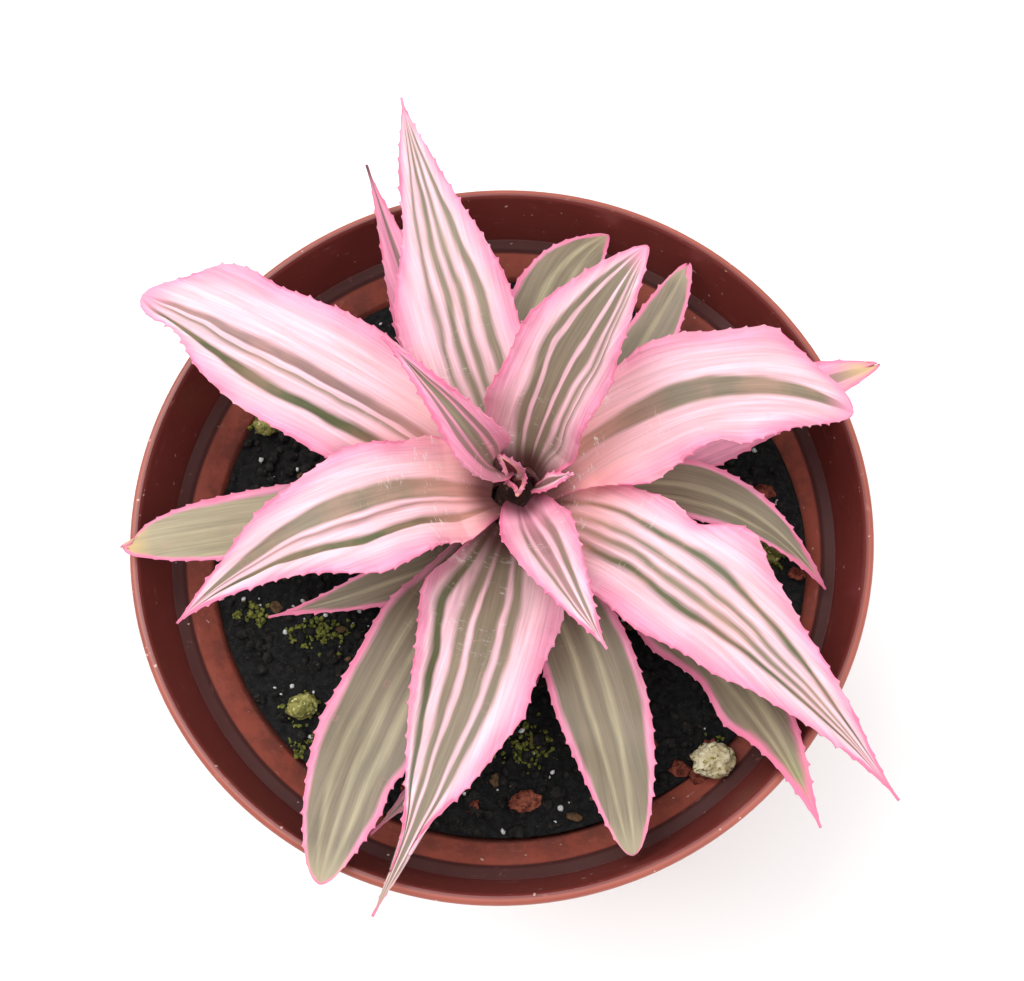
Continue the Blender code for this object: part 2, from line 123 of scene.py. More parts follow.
class Nodes:
    """A small helper that adds shader nodes to a tree and joins them."""

    def __init__(self, tree: bpy.types.NodeTree) -> None:
        """Keeps the tree that is built on.

        Args:
            tree: A material's tree or a node group.
        """
        self.tree = tree

    def fill(self, node: bpy.types.Node, inputs: dict) -> None:
        """Sets a node's inputs or joins them.

        Args:
            node: The node.
            inputs: Socket name or index to a value or to another node's output.
        """
        for name, value in inputs.items():
            if isinstance(value, bpy.types.NodeSocket):
                self.tree.links.new(value, node.inputs[name])
            else:
                node.inputs[name].default_value = value

    def add(self, kind: str, inputs: dict | None = None, **settings: object) -> bpy.types.Node:
        """Adds a node, sets it up and joins its inputs.

        Args:
            kind: The node's type name.
            inputs: Socket name or index to a value or to another node's output.
            **settings: Properties of the node itself.

        Returns:
            The new node.
        """
        node = self.tree.nodes.new(kind)
        for name, value in settings.items():
            setattr(node, name, value)
        self.fill(node, inputs or {})
        return node

    def math(self, operation: str, first: object, second: object = 0.0,
             third: object = 0.0) -> bpy.types.NodeSocket:
        """Adds a Math node and returns its result."""
        return self.add("ShaderNodeMath", {0: first, 1: second, 2: third}, operation=operation).outputs[0]

    def plus(self, first: object, second: object) -> bpy.types.NodeSocket:
        """Adds an Add node and returns its result."""
        return self.math("ADD", first, second)

    def times(self, first: object, second: object) -> bpy.types.NodeSocket:
        """Adds a Multiply node and returns its result."""
        return self.math("MULTIPLY", first, second)

    def point(self, x: object, y: object, z: object = 0.0) -> bpy.types.NodeSocket:
        """Adds a Combine XYZ node and returns its vector."""
        return self.add("ShaderNodeCombineXYZ", {"X": x, "Y": y, "Z": z}).outputs[0]

    def scaled(self, vector: object, factor: object) -> bpy.types.NodeSocket:
        """Adds a Scale node and returns its vector."""
        return self.add("ShaderNodeVectorMath", {0: vector, "Scale": factor}, operation="SCALE").outputs[0]

    def blade_place(self) -> tuple[bpy.types.NodeSocket, ...]:
        """Reads where a point lies on its blade: across, along and the half-width there."""
        blade = self.add("ShaderNodeAttribute", attribute_name="blade")
        return tuple(self.add("ShaderNodeSeparateXYZ", {0: blade.outputs["Vector"]}).outputs)

    def bump(self, shader: bpy.types.Node, strength: float, distance: float, height: object) -> None:
        """Adds a Bump node that roughens a shader's normal."""
        made = self.add("ShaderNodeBump", {"Strength": strength, "Distance": distance, "Height": height})
        self.fill(shader, {"Normal": made.outputs["Normal"]})

    def ramp(self, low: float, high: float, value: object, to_low: float = 0.0,
             to_high: float = 1.0) -> bpy.types.NodeSocket:
        """Adds a smooth Map Range from low..high to to_low..to_high and returns its result."""
        made = self.add("ShaderNodeMapRange", {"Value": value, "From Min": low, "From Max": high,
                                               "To Min": to_low, "To Max": to_high},
                        interpolation_type="SMOOTHSTEP")
        return made.outputs["Result"]

    def mix(self, share: object, first: object, second: object) -> bpy.types.NodeSocket:
        """Adds a colour Mix node and returns its result."""
        return self.add("ShaderNodeMix", {0: share, 6: first, 7: second}, data_type="RGBA").outputs[2]

    def noise(self, vector: object, scale: float, detail: float = 2.0,
              roughness: float = 0.5) -> bpy.types.NodeSocket:
        """Adds a Noise texture and returns its value."""
        made = self.add("ShaderNodeTexNoise", {"Vector": vector, "Scale": scale, "Detail": detail,
                                               "Roughness": roughness})
        return made.outputs["Fac"]

    def object_coords(self) -> bpy.types.NodeSocket:
        """Adds a Texture Coordinate node and returns its Object output."""
        return self.add("ShaderNodeTexCoord").outputs["Object"]


def new_group(name: str, colours: Sequence[str], numbers: Sequence[str],
              results: Sequence[str]) -> tuple[Nodes, dict, bpy.types.Node]:
    """Starts a shader node group whose first result is a colour.

    Args:
        name: The group's name.
        colours: The names of its colour inputs.
        numbers: The names of its number inputs.
        results: The names of its outputs.

    Returns:
        The helper on the group's tree, its input sockets by name, and its output node.
    """
    tree = bpy.data.node_groups.new(name, "ShaderNodeTree")
    colour, number = "NodeSocketColor", "NodeSocketFloat"
    for label in (*colours, *numbers):
        tree.interface.new_socket(label, in_out="INPUT", socket_type=colour if label in colours else number)
    for label in results:
        tree.interface.new_socket(label, in_out="OUTPUT", socket_type=colour if label == results[0] else number)
    given = tree.nodes.new("NodeGroupInput")
    result = tree.nodes.new("NodeGroupOutput")
    return Nodes(tree), {socket.name: socket for socket in given.outputs if socket.name}, result


def blade_group() -> bpy.types.NodeTree:
    """Makes the shared leaf effect: grain, margin, base tint, blush, pale scurf and ring spots."""
    nodes, given, result = new_group(
        "blade skin", ("Stripes", "Margin", "Base", "Tip"),
        ("Across", "Share", "Along", "Half", "Base Reach", "Tip Reach", "Margin Width", "Scurf", "Seed"),
        ("Color", "Roughness", "Height"))
    width = nodes.times(given["Across"], given["Half"])
    fibres = nodes.point(nodes.times(width, 3.4), nodes.times(given["Along"], 0.09), given["Seed"])
    fine = nodes.noise(fibres, 1.0, 3.0, 0.6)
    broad_at = nodes.point(nodes.times(width, 0.9), nodes.times(given["Along"], 0.05),
                           nodes.plus(given["Seed"], 7.0))
    broad = nodes.noise(broad_at, 1.0, 2.0, 0.5)
    place = nodes.point(width, given["Along"], given["Seed"])
    cloud = nodes.noise(place, 0.11, 3.0, 0.55)
    grain = nodes.ramp(0.3, 0.7, fine, 0.86, 1.10)
    streak = nodes.ramp(0.35, 0.65, broad, 0.90, 1.08)
    shade = nodes.times(grain, streak)
    toned = nodes.mix(nodes.ramp(0.42, 0.68, cloud, 0.0, 0.14), given["Stripes"], given["Base"])
    lit = nodes.scaled(toned, shade)
    # The base of each leaf is warmer, and the foot in the crown is dark
    base_share = nodes.ramp(0.0, 1.0, nodes.math("DIVIDE", given["Share"], given["Base Reach"]), 0.85, 0.0)
    warmed = nodes.mix(nodes.times(base_share, nodes.ramp(0.2, 0.7, broad, 0.5, 1.0)),
                       lit, given["Base"])
    tip_from = nodes.math("SUBTRACT", 1.0, given["Tip Reach"])
    tip_share = nodes.ramp(0.0, 1.0, nodes.math("DIVIDE", nodes.math("SUBTRACT", given["Share"], tip_from),
                                                given["Tip Reach"]), 0.0, 0.9)
    tipped = nodes.mix(tip_share, warmed, given["Tip"])
    inward = nodes.times(nodes.math("SUBTRACT", 1.0, nodes.math("ABSOLUTE", given["Across"])), given["Half"])
    ragged = nodes.plus(inward, nodes.ramp(0.3, 0.7, cloud, -0.35, 0.35))
    margin = nodes.ramp(0.0, 1.0, nodes.math("DIVIDE", ragged, given["Margin Width"]), 1.0, 0.0)
    edged = nodes.mix(margin, tipped, given["Margin"])
    foot = nodes.ramp(0.03, 0.13, given["Share"], 0.8, 0.0)
    rooted = nodes.mix(foot, edged, Tone.MAROON.value)
    # Pale scurf lies in thin crosswise flecks, most of it near the base
    flecks_at = nodes.point(nodes.times(width, 0.55), nodes.times(given["Along"], 1.5), given["Seed"])
    flecks = nodes.ramp(0.55, 0.62, nodes.noise(flecks_at, 1.0, 6.0, 0.75))
    patch = nodes.ramp(0.50, 0.62, nodes.noise(place, 0.16, 2.0, 0.5))
    near = nodes.ramp(0.15, 0.5, given["Share"], 1.0, 0.0)
    scurf = nodes.times(nodes.times(flecks, patch), nodes.times(near, given["Scurf"]))
    dusted = nodes.mix(scurf, rooted, srgb(240, 232, 226))
    # A few small pink rings, left by drops
    cells = nodes.add("ShaderNodeTexVoronoi", {"Vector": place, "Scale": 0.14, "Randomness": 1.0})
    ring = nodes.times(nodes.ramp(0.07, 0.10, cells.outputs["Distance"]),
                      nodes.ramp(0.10, 0.13, cells.outputs["Distance"], 1.0, 0.0))
    rings = nodes.times(ring, 0.12)
    spotted = nodes.mix(rings, dusted, Tone.EDGE.value)
    height = nodes.plus(nodes.times(fine, 0.7), nodes.times(broad, 0.6))
    nodes.fill(result, {"Color": spotted, "Roughness": nodes.ramp(0.3, 0.7, fine, 0.36, 0.56),
                        "Height": nodes.plus(height, nodes.times(scurf, 0.5))})
    return nodes.tree


def grit_group() -> bpy.types.NodeTree:
    """Makes the shared effect for mineral and earthy pieces: mottled colour, pits and dust."""
    nodes, given, result = new_group("grit", ("Dark", "Light", "Fleck"), ("Scale", "Fleck Share"),
                                     ("Color", "Height"))
    at = nodes.scaled(nodes.object_coords(), given["Scale"])
    body = nodes.noise(at, 1.0, 6.0, 0.65)
    fine = nodes.noise(at, 6.0, 4.0, 0.6)
    base = nodes.mix(nodes.ramp(0.35, 0.65, body), given["Dark"], given["Light"])
    cut = nodes.math("SUBTRACT", 0.78, given["Fleck Share"])
    fleck = nodes.math("GREATER_THAN", nodes.noise(at, 3.1, 2.0, 0.5), cut)
    nodes.fill(result, {"Color": nodes.mix(fleck, base, given["Fleck"]),
                        "Height": nodes.plus(body, nodes.times(fine, 0.5))})
    return nodes.tree


class Groups:
    """The shared node groups, each made once."""

    def __init__(self) -> None:
        """Makes every shared group."""
        self.blade = blade_group()
        self.grit = grit_group()


@dataclass(frozen=True)
class Band:
    """A lengthwise stripe: its middle across the blade from -1 to 1, its half-width and its tone."""

    middle: float
    half: float
    tone: Tone


def material_start(name: str) -> tuple[bpy.types.Material, Nodes, bpy.types.Node]:
    """Starts a material with one Principled shader.

    Args:
        name: The material's name.

    Returns:
        The material, the helper on its tree and its shader node.
    """
    made = bpy.data.materials.new(name)
    made.use_nodes = True
    return made, Nodes(made.node_tree), made.node_tree.nodes["Principled BSDF"]


@dataclass(frozen=True)
class LeafFinish:
    """What a leaf's upper face looks like."""

    name: str
    bands: tuple[Band, ...]
    ground: Tone = Tone.BLUSH
    base: Tone = Tone.SALMON
    tip: Tone = Tone.PINK
    base_reach: float = 0.35
    tip_reach: float = 0.12
    margin_width: float = 0.36
    scurf: float = 0.4
    softness: float = 0.05
    wash: float = 0.19

    def stops(self) -> list[tuple[float, Colour]]:
        """Works out the ramp's stops, from one margin to the other."""
        found: list[tuple[float, Colour]] = [(0.05, Tone.PINK.value), (self.wash, self.ground.value)]
        for band in sorted(self.bands, key=lambda b: b.middle):
            low, high = (band.middle - band.half + 1) / 2, (band.middle + band.half + 1) / 2
            found.append((low - self.softness / 2, self.ground.value))
            found.append((low + self.softness / 2, band.tone.value))
            found.append((high - self.softness / 2, band.tone.value))
            found.append((high + self.softness / 2, self.ground.value))
        found += [(1 - self.wash, self.ground.value), (0.95, Tone.PINK.value)]
        return sorted((min(1.0, max(0.0, place)), tone) for place, tone in found)

    def build(self, groups: Groups, seed: float) -> bpy.types.Material:
        """Makes the material.

        Args:
            groups: The shared node groups.
            seed: A number that makes this leaf's grain its own.

        Returns:
            The material.
        """
        made, nodes, shader = material_start(self.name)
        across, along, half = nodes.blade_place()
        share = nodes.add("ShaderNodeAttribute", attribute_name="share").outputs["Fac"]
        wander_at = nodes.point(nodes.times(across, 1.5), nodes.times(along, 0.07), seed)
        wander = nodes.ramp(0.0, 1.0, nodes.noise(wander_at, 1.0, 2.0), -0.09, 0.09)
        moved = nodes.plus(across, wander)
        ramp = nodes.add("ShaderNodeValToRGB", {0: nodes.math("MULTIPLY_ADD", moved, 0.5, 0.5)})
        line = ramp.color_ramp
        stops = self.stops()
        while len(line.elements) < len(stops):
            line.elements.new(0.5)
        for element, (place, tone) in zip(line.elements, stops):
            element.position = place
            element.color = tone
        skin = nodes.add("ShaderNodeGroup", {
            "Stripes": ramp.outputs["Color"], "Across": across, "Share": share, "Along": along, "Half": half,
            "Margin": Tone.EDGE.value, "Base": self.base.value, "Tip": self.tip.value,
            "Base Reach": self.base_reach, "Tip Reach": self.tip_reach, "Margin Width": self.margin_width,
            "Scurf": self.scurf, "Seed": seed}, node_tree=groups.blade)
        nodes.bump(shader, 0.35, 0.0002, skin.outputs["Height"])
        nodes.fill(shader, {"Base Color": skin.outputs["Color"], "Roughness": skin.outputs["Roughness"],
                            "Specular IOR Level": 0.4, "Subsurface Weight": 0.12, "Subsurface Scale": 1.0,
                            "Subsurface Radius": (0.0012, 0.0006, 0.0004)})
        return made


def underside_finish() -> bpy.types.Material:
    """Makes the leaves' lower face: dull pink and olive under a silvery, scaly film."""
    made, nodes, shader = material_start("leaf_underside")
    across, along, half = nodes.blade_place()
    at = nodes.point(nodes.times(nodes.times(across, half), 2.6), nodes.times(along, 0.25))
    lines = nodes.noise(at, 1.0, 4.0, 0.6)
    scales = nodes.noise(nodes.object_coords(), 2600.0, 2.0, 0.6)
    centre = nodes.ramp(0.25, 0.7, nodes.math("ABSOLUTE", across))
    ground = nodes.mix(centre, srgb(150, 128, 108), srgb(222, 150, 168))
    lined = nodes.mix(nodes.ramp(0.35, 0.65, lines, 0.0, 0.45), ground, srgb(196, 176, 168))
    film = nodes.mix(nodes.ramp(0.45, 0.62, scales, 0.05, 0.5), lined, srgb(214, 206, 200))
    nodes.fill(shader, {"Base Color": film, "Roughness": nodes.ramp(0.3, 0.7, scales, 0.55, 0.85)})
    nodes.bump(shader, 0.4, 0.0002, nodes.plus(lines, scales))
    return made


def plastic_finish() -> bpy.types.Material:
    """Makes the pot's satin red-brown plastic, with dust, fine scuffs, patches darker towards the soil, painted
    shade on the collar's inner wall and a painted shadow in the groove at the ledge.
    """
    made, nodes, shader = material_start("terracotta_plastic_fine")
    at = nodes.object_coords()
    height = nodes.add("ShaderNodeSeparateXYZ", {0: at}).outputs["Z"]
    cloud = nodes.noise(at, 55.0, 4.0, 0.55)
    fine = nodes.noise(at, 1500.0, 2.0, 0.6)
    scuff_at = nodes.add("ShaderNodeMapping", {"Vector": at, "Scale": (260.0, 260.0, 1500.0)}).outputs[0]
    scuff = nodes.ramp(0.62, 0.72, nodes.noise(scuff_at, 1.0, 3.0, 0.7))
    ground = nodes.mix(nodes.ramp(0.3, 0.7, cloud), srgb(152, 76, 62), srgb(166, 86, 71))
    # The lower inner wall is darker towards the soil, in patches, and duller there.
    low = (RIM_HEIGHT - SHOULDER_DEPTH - 1.0) * MM
    high = (RIM_HEIGHT - COLLAR_DEPTH + 2.5) * MM
    toward_soil = nodes.times(nodes.ramp(low, high, height, 1.0, 0.0), nodes.ramp(low - 0.004, low, height))
    low_wall_patches = nodes.times(toward_soil, nodes.ramp(0.40, 0.62, nodes.noise(at, 210.0, 5.0, 0.7)))
    # Painted shade: the collar's inner wall, above the ledge, is darkened to a deep maroon.
    flat_at = nodes.add("ShaderNodeVectorMath", {0: at, 1: (1.0, 1.0, 0.0)}, operation="MULTIPLY").outputs[0]
    radius = nodes.add("ShaderNodeVectorMath", {0: flat_at}, operation="LENGTH").outputs["Value"]
    ledge = (RIM_HEIGHT - COLLAR_DEPTH) * MM
    wall_line = nodes.math("MULTIPLY_ADD", nodes.math("SUBTRACT", height, ledge), 0.17, 0.0564)
    outward = nodes.math("SUBTRACT", radius, wall_line)
    inside = nodes.times(nodes.ramp(0.0004, 0.0008, outward, 1.0, 0.0),
                         nodes.ramp(ledge - 0.0012, ledge - 0.0006, height))
    collar_painted_shade = nodes.mix(nodes.times(inside, 0.85), ground, srgb(104, 40, 38))
    # Painted shadow: a dark band in the groove at the ledge, which also dulls the surface there.
    shelf = nodes.times(nodes.ramp(0.0540, 0.0545, radius), nodes.ramp(0.0562, 0.0567, radius, 1.0, 0.0))
    groove = nodes.times(shelf, nodes.ramp(ledge - 0.0012, ledge - 0.0008, height))
    groove_painted_shade = nodes.mix(nodes.times(groove, 0.8), collar_painted_shade, srgb(52, 22, 20))
    low_wall_darkened = nodes.mix(nodes.times(low_wall_patches, 0.55), groove_painted_shade, srgb(74, 40, 34))
    worn = nodes.mix(nodes.times(scuff, 0.22), low_wall_darkened, srgb(214, 150, 134))
    specks = nodes.math("GREATER_THAN", nodes.noise(at, 900.0, 1.0, 0.5), 0.765)
    dusted = nodes.mix(nodes.times(specks, 0.6), worn, srgb(226, 196, 184))
    rough = nodes.plus(nodes.ramp(0.3, 0.7, cloud, 0.30, 0.44), nodes.times(scuff, 0.18))
    dulled = nodes.math("MAXIMUM", low_wall_patches, groove)
    nodes.fill(shader, {"Base Color": dusted, "Roughness": nodes.plus(rough, nodes.times(dulled, 0.4))})
    nodes.bump(shader, 0.12, 0.00015, nodes.plus(fine, nodes.times(scuff, -0.6)))
    return made


@dataclass(frozen=True)
class GritFinish:
    """A rough earthy or mineral surface, its colours as screen values."""

    name: str
    dark: tuple[int, int, int]
    light: tuple[int, int, int]
    fleck: tuple[int, int, int]
    scale: float
    fleck_share: float = 0.12
    roughness: float = 0.95
    lift: float = 0.0004

    def build(self, groups: Groups) -> bpy.types.Material:
        """Makes the material.

        Args:
            groups: The shared node groups.

        Returns:
            The material.
        """
        made, nodes, shader = material_start(self.name)
        skin = nodes.add("ShaderNodeGroup", {
            "Dark": srgb(*self.dark), "Light": srgb(*self.light), "Fleck": srgb(*self.fleck),
            "Scale": self.scale, "Fleck Share": self.fleck_share}, node_tree=groups.grit)
        nodes.bump(shader, 0.8, self.lift, skin.outputs["Height"])
        nodes.fill(shader, {"Base Color": skin.outputs["Color"], "Roughness": self.roughness,
                            "Specular IOR Level": 0.25})
        return made


def set_points(mesh: bpy.types.Mesh, points: np.ndarray) -> None:
    """Writes point places, given in millimetres, into a mesh."""
    mesh.vertices.foreach_set("co", (points * MM).astype(np.float32).ravel())
    mesh.update()


def get_points(mesh: bpy.types.Mesh) -> np.ndarray:
    """Reads a mesh's point places as they are stored."""
    found = np.empty(len(mesh.vertices) * 3, np.float32)
    mesh.vertices.foreach_get("co", found)
    return found.reshape(-1, 3).astype(np.float64)


def put_on(piece: bpy.types.Object, skin: bpy.types.Material) -> None:
    """Gives a piece its one material and smooth shading."""
    piece.data.materials.clear()
    piece.data.materials.append(skin)
    only_selected(piece)
    bpy.ops.object.shade_smooth()


def finish_piece(piece: bpy.types.Object, name: str, nodes: Sequence[str] = ()) -> bpy.types.Object:
    """Names a piece, hangs it on the root body and hides the model's nodes that it replaces.

    Args:
        piece: The finished object.
        name: Its name.
        nodes: The model's nodes that it replaces.

    Returns:
        The piece.
    """
    piece.name = name
    piece.data.name = name
    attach(piece, "root")
    if nodes:
        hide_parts(*nodes)
    LOG.info("%s: %d faces", name, len(piece.data.polygons))
    return piece


def only_selected(piece: bpy.types.Object) -> None:
    """Selects one object alone and makes it active."""
    for other in bpy.context.selected_objects:
        other.select_set(False)
    piece.select_set(True)
    bpy.context.view_layer.objects.active = piece


def stem_radius(level: float) -> float:
    """The stem's radius at a height above the rim."""
    heights, radii = zip(*STEM_SHAPE)
    return float(np.interp(level, heights, radii))


def smooth_values(low: float, high: float, value: np.ndarray) -> np.ndarray:
    """A smooth rise from 0 to 1 as the value goes from low to high."""
    share = np.clip((value - low) / (high - low), 0, 1)
    return share * share * (3 - 2 * share)


@dataclass(frozen=True)
class Lobe:
    """A bulge or a notch of the margin: its side, its place along the leaf, its size and its spread."""

    side: int
    along: float
    size: float
    spread: float


@dataclass(frozen=True)
class LeafForm:
    """The form of a leaf, as its solid has it, with its own margin lobes and finish."""

    name: str
    base: float
    via: Place
    tip: Place
    half: float
    widest: float
    fold: float
    wave: float
    blunt: float
    roll: float
    finish: LeafFinish
    slot: Slot
    lobes: tuple[Lobe, ...] = ()
    torn: float = 0.0
    bud: bool = False


@dataclass
class Leaf:
    """One leaf's fine blade."""

    form: LeafForm
    index: int

    TOOTH_PITCH = 2.3
    TOOTH_HEIGHT = 0.42
    STATIONS_PER_TOOTH = 8
    STRIPS = 22
    TIP_HALF = 0.22
    THICKNESS = 0.75
    BASE_HALF_SHARE = 0.42
    LARGEST_BASE_HALF = 3.6
    WIDENING_POWER = 0.8
    BUD_OFFSET = 0.9
    # Teeth: one side's lead over the other, their unevenness, the hook's peak and steepness, and its lean
    SIDE_LEAD = 0.4
    UNEVEN = 0.25
    HOOK_PEAK = 0.84
    HOOK_FALL = 0.16
    HOOK_POWER = 6.0
    TOOTH_FROM = 0.86
    TOOTH_MEAN = 0.75
    TOOTH_SPREAD = 0.9
    TOOTH_LEAN = 0.7
    # Form: the clasp at the base, the fold, the arch between the folds, the waves and the midrib's channel
    CLASP = 0.5
    CLASP_FADE = 7
    FOLD_POWER = 1.6
    FOLD_NARROWING = 0.12
    ARCH = 0.06
    WAVES = 3.2
    FRILLS = 9.1
    FRILL_SHARE = 0.22
    CHANNEL_DEPTH = 0.10
    CHANNEL_WIDTH = 0.06
    TORN_SCALE = 2.4
    TORN_FROM = 0.93
    LEVELS = 20

    def start(self) -> np.ndarray:
        """Where the midrib leaves the stem."""
        form = self.form
        foot = Vector((*CROWN, form.base))
        run = Vector((form.via[0] - CROWN[0], form.via[1] - CROWN[1], 0.0))
        if form.bud:
            return np.array(foot + run.normalized() * self.BUD_OFFSET)
        steep = Vector((run.x, run.y, form.via[2] - form.base)).normalized().z
        reach = stem_radius(form.base) + FLAT_STEM_OFFSET + STEEP_STEM_OFFSET * max(0.0, steep)
        return np.array(foot + run.normalized() * reach)

    def rib(self, t: np.ndarray) -> tuple[np.ndarray, np.ndarray]:
        """The midrib's points and directions.

        Args:
            t: Shares along the leaf.

        Returns:
            The points in millimetres above the pot's base, and unit directions.
        """
        start, via, tip = self.start(), np.array(self.form.via), np.array(self.form.tip)
        t = t[:, None]
        first = (t - VIA_AT) * (t - 1) / VIA_AT
        middle = t * (t - 1) / (VIA_AT * (VIA_AT - 1))
        last = t * (t - VIA_AT) / (1 - VIA_AT)
        points = start * first + via * middle + tip * last + np.array((0.0, 0.0, RIM_HEIGHT))
        slope = (start * (2 * t - 1 - VIA_AT) / VIA_AT + via * (2 * t - 1) / (VIA_AT * (VIA_AT - 1))
                 + tip * (2 * t - VIA_AT) / (1 - VIA_AT))
        return points, slope / np.linalg.norm(slope, axis=1, keepdims=True)

    def half_width(self, t: np.ndarray) -> np.ndarray:
        """The blade's half-width without teeth and lobes, in millimetres."""
        form = self.form
        base = min(self.LARGEST_BASE_HALF, form.half * self.BASE_HALF_SHARE)
        rise = np.sin(np.pi / 2 * np.clip(t / form.widest, 0, 1)) ** self.WIDENING_POWER
        growing = base + (form.half - base) * rise
        past = np.clip((t - form.widest) / (1 - form.widest), 0, 1)
        pointed = np.sqrt(1 - past) * (1 - past ** 1.6) ** 0.8
        rounded = np.sqrt(np.clip(1 - past ** 2.6, 0, 1))
        ending = form.half * (pointed * (1 - form.blunt) + rounded * form.blunt)
        return np.maximum(self.TIP_HALF, np.where(t < form.widest, growing, ending))

    def build(self, groups: Groups, underside: bpy.types.Material) -> bpy.types.Object:
        """Makes the blade.

        Args:
            groups: The shared node groups.
            underside: The finish of the lower face.

        Returns:
            The finished piece.
        """
        form = self.form
        along_line, _ = self.rib(np.linspace(0, 1, 60))
        length = float(np.linalg.norm(np.diff(along_line, axis=0), axis=1).sum())
        teeth = max(6, round(length / self.TOOTH_PITCH))
        stations = teeth * self.STATIONS_PER_TOOTH
        bpy.ops.mesh.primitive_grid_add(x_subdivisions=stations, y_subdivisions=self.STRIPS, size=2)
        piece = bpy.context.object
        flat = get_points(piece.data)
        t = np.clip((flat[:, 0] + 1) / 2, 0, 1)
        across = np.sin(np.clip(flat[:, 1], -1, 1) * np.pi / 2)
        side_of, aside = np.sign(across), np.abs(across)
        points, directions = self.rib(t)
        side = np.cross(np.array((0.0, 0.0, 1.0)), directions)
        side /= np.linalg.norm(side, axis=1, keepdims=True)
        up = np.cross(directions, side)
        turn = (math.radians(form.roll) * np.sin(np.pi * t))[:, None]
        side, up = side * np.cos(turn) + up * np.sin(turn), up * np.cos(turn) - side * np.sin(turn)
        half = self.half_width(t)
        ends = np.clip(6 * t, 0, 1) * np.clip(9 * (1 - t), 0, 1)
        for lobe in form.lobes:
            bulge = lobe.size * np.exp(-(((t - lobe.along) / lobe.spread) ** 2))
            half = half + np.where(side_of == lobe.side, bulge, 0.0) * smooth_values(0.2, 1.0, aside) * ends
        rng = np.random.default_rng(100 + self.index)
        knots = rng.uniform(-0.5, 0.5, (2, stations // 7 + 3))
        left, right = (np.interp(t * (len(row) - 1), np.arange(len(row)), row) for row in knots)
        jitter = np.where(side_of > 0, left, right)
        phase = (t * teeth + np.where(side_of > 0, self.SIDE_LEAD, 0.0) + self.UNEVEN * jitter) % 1.0
        hook = np.where(phase < self.HOOK_PEAK, (phase / self.HOOK_PEAK) ** self.HOOK_POWER,
                        (1 - phase) / self.HOOK_FALL)
        rim = smooth_values(self.TOOTH_FROM, 1.0, aside)
        tooth = self.TOOTH_HEIGHT * hook * rim * ends * (self.TOOTH_MEAN + self.TOOTH_SPREAD * jitter)
        clasp = self.CLASP * np.clip(1 - self.CLASP_FADE * t, 0, 1)
        lift = (form.fold + clasp) * half * aside ** self.FOLD_POWER
        arch = -self.ARCH * half * (1 - across * across)
        shift = 1.7 * len(form.name) + np.where(side_of > 0, 1.3, 0.0)
        calm = np.clip(4 * t, 0, 1) * np.clip(3 * (1 - t), 0, 1)
        ripple = form.wave * np.sin(2 * np.pi * self.WAVES * t + shift) * calm * across ** 2
        frill = self.FRILL_SHARE * form.wave * np.sin(2 * np.pi * self.FRILLS * t + 2.3 * shift)
        frill = frill * calm * aside ** 5
        channel = -self.CHANNEL_DEPTH * np.exp(-((across / self.CHANNEL_WIDTH) ** 2))
        channel = channel * np.clip(6 * (1 - t), 0, 1)
        width = half * across * (1 - self.FOLD_NARROWING * lift / np.maximum(half, 0.1)) + side_of * tooth
        out = points + side * width[:, None] + up * (lift + arch + ripple + frill + channel)[:, None]
        out += directions * (tooth * self.TOOTH_LEAN)[:, None]
        if form.torn:
            ragged = np.array([noise.noise(Vector((place, 0.3, 0.0)))
                               for place in across * self.TORN_SCALE + self.index])
            out += directions * (form.torn * ragged * smooth_values(self.TORN_FROM, 1.0, t))[:, None]
        set_points(piece.data, out)
        self.note_places(piece.data, across, t, t * length, half)
        self.thicken(piece, across, t)
        piece.data.materials.append(form.finish.build(groups, 3.7 * self.index + 1.1))
        piece.data.materials.append(underside)
        return finish_piece(piece, f"{form.name}_blade", [] if form.bud else [form.name])

    @staticmethod
    def note_places(mesh: bpy.types.Mesh, across: np.ndarray, t: np.ndarray, along: np.ndarray,
                    half: np.ndarray) -> None:
        """Stores where each point lies on the blade, for the finish to read.

        Args:
            mesh: The blade's mesh.
            across: From -1 to 1 across it.
            t: The share along it.
            along: The distance along it in millimetres.
            half: The half-width there in millimetres.
        """
        places = mesh.attributes.new("blade", "FLOAT_VECTOR", "POINT")
        places.data.foreach_set("vector", np.column_stack((across, along, half)).astype(np.float32).ravel())
        shares = mesh.attributes.new("share", "FLOAT", "POINT")
        shares.data.foreach_set("value", t.astype(np.float32))

    def thicken(self, piece: bpy.types.Object, across: np.ndarray, t: np.ndarray) -> None:
        """Gives the blade its thickness, thinner towards the margin and the tip.

        Args:
            piece: The blade.
            across: From -1 to 1 across it, for each point.
            t: The share along it, for each point.
        """
        group = piece.vertex_groups.new(name="thick")
        weights = 1 - 0.75 * smooth_values(0.55, 1.0, np.abs(across))
        weights = weights * (1 - 0.5 * smooth_values(0.85, 1.0, t))
        for level in range(1, self.LEVELS + 1):
            chosen = np.flatnonzero(np.round(weights * self.LEVELS) == level)
            if len(chosen):
                group.add([int(k) for k in chosen], level / self.LEVELS, "REPLACE")
        thick = piece.modifiers.new("thickness", "SOLIDIFY")
        thick.thickness = self.THICKNESS * MM
        thick.offset = 0.0
        thick.vertex_group = "thick"
        thick.material_offset = 1
        only_selected(piece)
        bpy.ops.object.modifier_apply(modifier=thick.name)
        piece.vertex_groups.clear()
        bpy.ops.object.shade_smooth()


